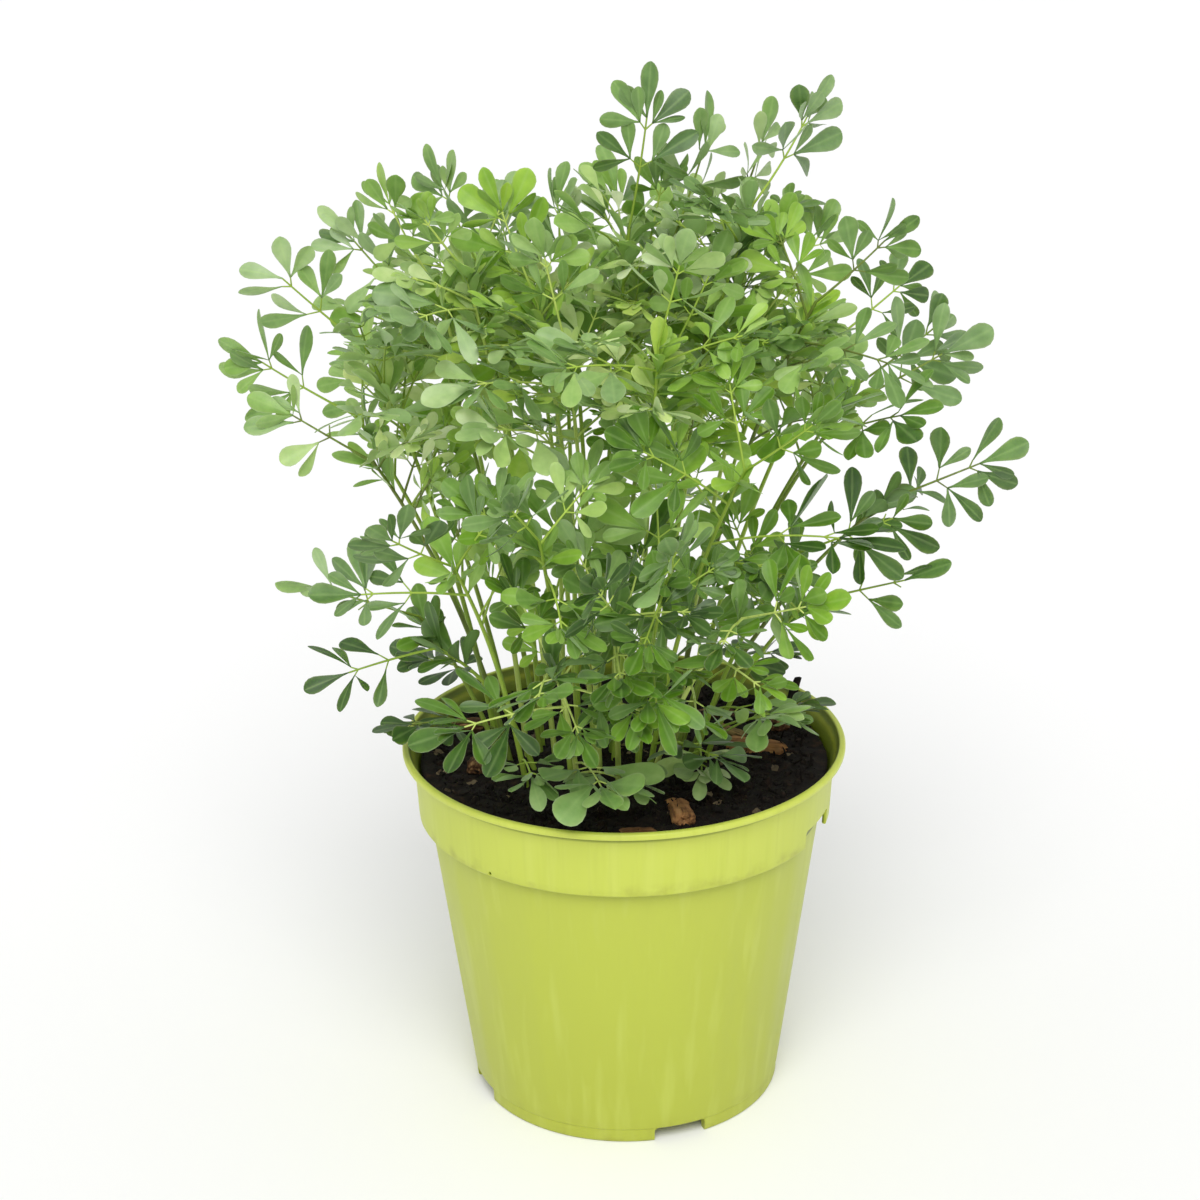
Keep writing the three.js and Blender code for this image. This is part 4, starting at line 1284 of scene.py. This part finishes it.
def add_frond(growth, frond, number, look):
    """The rachis of a frond, its twigs and its leaflets."""
    length = frond["length"]
    is_low = frond["kind"] == "low"
    broad = LOW_LEAFLET_WIDTH if is_low else LEAFLET_WIDTH
    reach = LOW_LEAFLET_LENGTH * length if is_low else length

    def pick(choice):
        return chance(number, frond["leaf"], 50, choice)
    rib = [on_blade(frond, END_FOOT * length * i / RACHIS_STEPS, 0.0) for i in range(RACHIS_STEPS + 1)]
    add_twig(growth, rib, RACHIS_GIRTH, look["stem"])
    for row, pair in enumerate(LEAFLET_PAIRS):
        middle = (pair["foot"] + pair["head"]) / 2 * length
        for side in (-1, 1):
            u, v = leaflet_point(pair, length, FORK_SHARES[row], 0.0)
            twig = [
                on_blade(frond, middle + (u - middle) * i / TWIG_STEPS, side * v * i / TWIG_STEPS)
                for i in range(TWIG_STEPS + 1)
            ]
            add_twig(growth, twig, TWIG_GIRTH, look["stem"])
            way = (cos(pair["angle"]), side * sin(pair["angle"]))
            twig_length = (pair["reach"] - FORK_SHARES[row]) * reach

            def pick_here(choice, row=row, side=side):
                return pick(choice + 100 * (2 * row + (side + 1) // 2 + 1))
            add_triplet(growth, frond, (u, side * v), way, twig_length, look, pick_here, broad)
    end_length = (1 - END_FOOT) * reach
    add_triplet(growth, frond, (END_FOOT * length, 0.0), (1.0, 0.0), end_length, look, pick, broad)


def add_crown(growth, stem, look):
    """Young leaflets that stand round the tip of the stem."""
    number = stem["number"]
    height = stem["tip"][2]
    tall = height > TALL_TIP
    fresh = 1.0 if 225 < height < 310 else 0.0
    for i in range(CROWN_LEAFLETS if tall else LOW_CROWN_LEAFLETS):
        def pick(choice, i=i):
            return chance(number, 40 + i, 0, choice)
        t = stem["end"] - (1.0 + (CROWN_REACH if tall else LOW_CROWN_REACH) * pick(1)) / stem["length"]
        grows = heading(stem, t)
        sideways = out_from(grows, GOLDEN_ANGLE * i + 1.3 * number)
        way = leaning(grows, sideways, radians(24 + 34 * pick(2)))
        face = unit(square_part(plus(grows, sideways, -0.8), way))
        seen = outer_look(look, along(stem, t))
        young = {"tone": seen["tone"] + 0.16 * fresh, "bloom": seen["bloom"] - 0.3 * fresh}
        add_leaflet(growth, along(stem, t), way, face, 7 + 8 * pick(3), CROWN_LEAFLET_WIDTH, young, pick)


def stem_look(stem):
    """Tone from dark to pale, grey bloom, and the stem's own tone, by where the stem stands."""
    x, _, z = stem["tip"]
    number = stem["number"]
    tone = 0.58 + 0.0008 * (z - 200) + 0.16 * (chance(number, 70, 0, 1) - 0.5)
    bloom = 0.42 + 0.5 * (chance(number, 71, 0, 1) - 0.5)
    woody = 0.3 if abs(x) > 70 or z > 310 else 0.0
    return {"tone": tone, "bloom": bloom, "stem": 0.35 + 0.5 * chance(number, 72, 0, 1) - woody}


def share_of(value, start, end):
    """How far a value is on its way from a start to an end, from 0 to 1."""
    return min(max((value - start) / (end - start), 0.0), 1.0)


def outer_look(look, point):
    """The look of a leaf at a point: greyer high up and far out, and darker there and on the right; low down,
    in the lower middle and at the lower left it is darker as painted shade.
    """
    x, _, z = point
    high = share_of(z, 290, 322)
    out = share_of(abs(x), 55, 90)
    right = share_of(x, 15, 55)
    below = share_of(z, 240, 180)
    middle = share_of(abs(x), 38, 14) * share_of(z, 250, 215) * share_of(z, 135, 160)
    crown_right = right * share_of(z, 250, 262) * (1 - high)
    shaded = share_of(z, 170, 140) * share_of(-x, 15, 35)
    gaps = share_of(z, 255, 270) * share_of(abs(x - 12), 42, 22) * (1 - high)
    # Painted shade: darker low in the bush (below), in its lower middle (middle) and at its lower left
    # (shaded).
    tone = look["tone"] - (0.68 - 0.38 * right) * high - 0.10 * right - 0.19 * out
    tone -= 0.19 * below + 0.17 * middle + 0.18 * crown_right + 0.30 * shaded
    bloom = look["bloom"] + 0.3 * max(high, out) + 0.2 * below * (2 * out - 1)
    lost = (0.46 + 0.34 * below) * out + 0.20 * gaps
    return {"tone": tone, "bloom": bloom, "stem": look["stem"], "lost": lost}


def stem_growth(stem, depths):
    """Everything that grows on one stem. Fronds deep in the bush are painted paler and greener, a painted
    fill light against the shade among them.
    """
    growth = {label: [] for label in ("corners", "edges", *dict(GROWTH_VALUES))}
    look = stem_look(stem)
    number = stem["number"]
    foot = [plus(stem["root"], (0.0, 0.0, -depth)) for depth in (ROOT_DEPTH, 2.0)]
    points = foot + [along(stem, stem["end"] * i / STEM_STEPS) for i in range(STEM_STEPS + 1)]
    add_twig(growth, points, STEM_GIRTH, look["stem"])
    for frond in stem["fronds"]:
        depth = depths[number, frond["leaf"]]
        frond_look = outer_look(look, on_blade(frond, HEAD_SHARE * frond["length"], 0.0))
        # Painted light: fronds deep in the bush are made paler and greener.
        frond_look["tone"] += 0.40 * (chance(number, frond["leaf"], 60, 1) - 0.5) + 0.18 * depth
        frond_look["bloom"] += 0.6 * (chance(number, frond["leaf"], 60, 2) - 0.5) - 0.35 * depth
        if frond["kind"] == "low":
            # Painted light and painted shade: low fronds are paler when they point to the front and darker
            # when they point to the sides.
            frond_look["tone"] += 0.15 if abs(frond["forward"][0]) < 0.5 else -0.22
            frond_look["bloom"] = 0.55
        add_frond(growth, frond, number, frond_look)
    add_crown(growth, stem, look)
    return growth


def growth_mesh(growth, name):
    """A mesh of the twigs' lines and the leaflets' feet, with what the tree needs to know."""
    mesh = plain_mesh(name, growth["corners"], [], growth["edges"])
    for label, kind in GROWTH_VALUES:
        keep_values(mesh, label, kind, growth[label])
    return mesh


def foliage_tree(leaf_finish, stem_finish):
    """Makes tubes of the lines, and sets a leaflet on each foot."""
    tree, given = new_tree("foliage", [("Forms", "Collection"), ("Twig sides", "Int")])

    def named(label, kind="FLOAT_VECTOR"):
        node = put(tree, "GeometryNodeInputNamedAttribute", {"Name": label}, data_type=kind)
        return node.outputs["Attribute"]
    lines = put(tree, "GeometryNodeMeshToCurve", {0: given["Geometry"]})
    ring = put(tree, "GeometryNodeCurvePrimitiveCircle", {"Resolution": given["Twig sides"], "Radius": 1.0})
    tubes = put(tree, "GeometryNodeCurveToMesh", {
        "Curve": lines.outputs[0], "Profile Curve": ring.outputs[0], "Scale": named("girth", "FLOAT"),
        "Fill Caps": True,
    })
    smooth = put(tree, "GeometryNodeSetShadeSmooth", {0: tubes.outputs[0]})
    stems = put(tree, "GeometryNodeSetMaterial", {0: smooth.outputs[0], "Material": stem_finish})
    form = put(tree, "GeometryNodeCollectionInfo", {
        "Collection": given["Forms"], "Separate Children": True, "Reset Children": True,
    })
    turn = put(tree, "FunctionNodeAxesToRotation", {
        "Primary Axis": named("way"), "Secondary Axis": named("face"),
    }, primary_axis="Y", secondary_axis="Z")
    leaflets = put(tree, "GeometryNodeInstanceOnPoints", {
        "Points": given["Geometry"], "Selection": named("is_leaflet", "BOOLEAN"),
        "Instance": form.outputs[0], "Pick Instance": True, "Instance Index": named("form", "INT"),
        "Rotation": turn.outputs[0], "Scale": named("scale"),
    })
    blades = put(tree, "GeometryNodeSetMaterial", {0: leaflets.outputs[0], "Material": leaf_finish})
    end_tree(tree, plain_result(tree, blades.outputs[0], stems.outputs[0]))
    return tree


rue_leaf, tree, shader = new_finish("rue_leaf")
place = own_place(tree)
parts = put(tree, "ShaderNodeSeparateXYZ", {0: kept_value(tree, "blade", "Vector")})
from_rib = worked(tree, "ABSOLUTE", parts.outputs["X"])
mottled = rescale(tree, grainy(tree, place, 240.0), 0.3, 0.7, -0.07, 0.07)
tone = worked(tree, "ADD", mottled, kept_value(tree, "tone"))
green = ramp(tree, tone, [
    (0.00, 40, 70, 8), (0.20, 64, 102, 14), (0.42, 98, 142, 28),
    (0.62, 132, 176, 52), (0.82, 164, 204, 68), (1.00, 200, 226, 104),
])
grey = ramp(tree, tone, [
    (0.00, 52, 80, 34), (0.20, 82, 112, 62), (0.42, 116, 146, 92),
    (0.62, 150, 178, 124), (0.82, 186, 206, 156), (1.00, 220, 232, 192),
])
leaf_colour = blend_colours(tree, rescale(tree, kept_value(tree, "bloom"), 0.0, 1.0), green, grey)
veined = tinted(tree, leaf_colour, rescale(tree, from_rib, 0.0, 0.22, 0.20, 0.0), 176, 204, 128)
edged = tinted(tree, veined, rescale(tree, from_rib, 0.86, 1.0, 0.0, 0.18), 176, 198, 150)
under = rescale(tree, parts.outputs["Z"], 0.0, -0.5, 0.0, 0.45)
dots = put(tree, "ShaderNodeTexVoronoi", {"Vector": place, "Scale": 1400.0}).outputs["Distance"]
give(tree, shader, {
    "Base Color": tinted(tree, edged, under, 152, 188, 118),
    "Roughness": 0.46,
    "Specular IOR Level": 0.5,
    "Sheen Weight": 0.12,
    "Sheen Roughness": 0.4,
    "Subsurface Weight": 0.15,
    "Subsurface Radius": (0.0012, 0.0020, 0.0004),
    "Subsurface Scale": 1.0,
    "Normal": relief(tree, dots, 0.15, 0.0001),
})

rue_stem, tree, shader = new_finish("rue_stem")
ridges = grainy(tree, own_place(tree), 500.0, 2.0, (1.0, 1.0, 0.12))
stem_colour = ramp(tree, kept_value(tree, "tone"), [
    (0.05, 98, 108, 50), (0.34, 148, 176, 62), (0.55, 178, 206, 84), (0.85, 212, 228, 128),
])
give(tree, shader, {
    "Base Color": tinted(tree, stem_colour, rescale(tree, ridges, 0.4, 0.7, 0.0, 0.5), 146, 180, 68),
    "Roughness": 0.5,
    "Specular IOR Level": 0.35,
    "Normal": relief(tree, ridges, 0.3, 0.0002),
})

forms = form_collection("leaflet_forms", leaflet_mesh, LEAFLET_FORMS)
foliage = foliage_tree(rue_leaf, rue_stem)
stems = plan_plants()
fill_bush(stems)
depths = crowding(stems)
for number, stem in enumerate(stems, 1):
    name = f"rue_{number:02d}"
    rue = new_piece(name, growth_mesh(stem_growth(stem, depths), name))
    grow(rue, foliage, {"Forms": forms, "Twig sides": TWIG_SIDES}, name)
    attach(rue, "root")
    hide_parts(f"leafy_stem_{number:02d}")
drop_forms(forms)
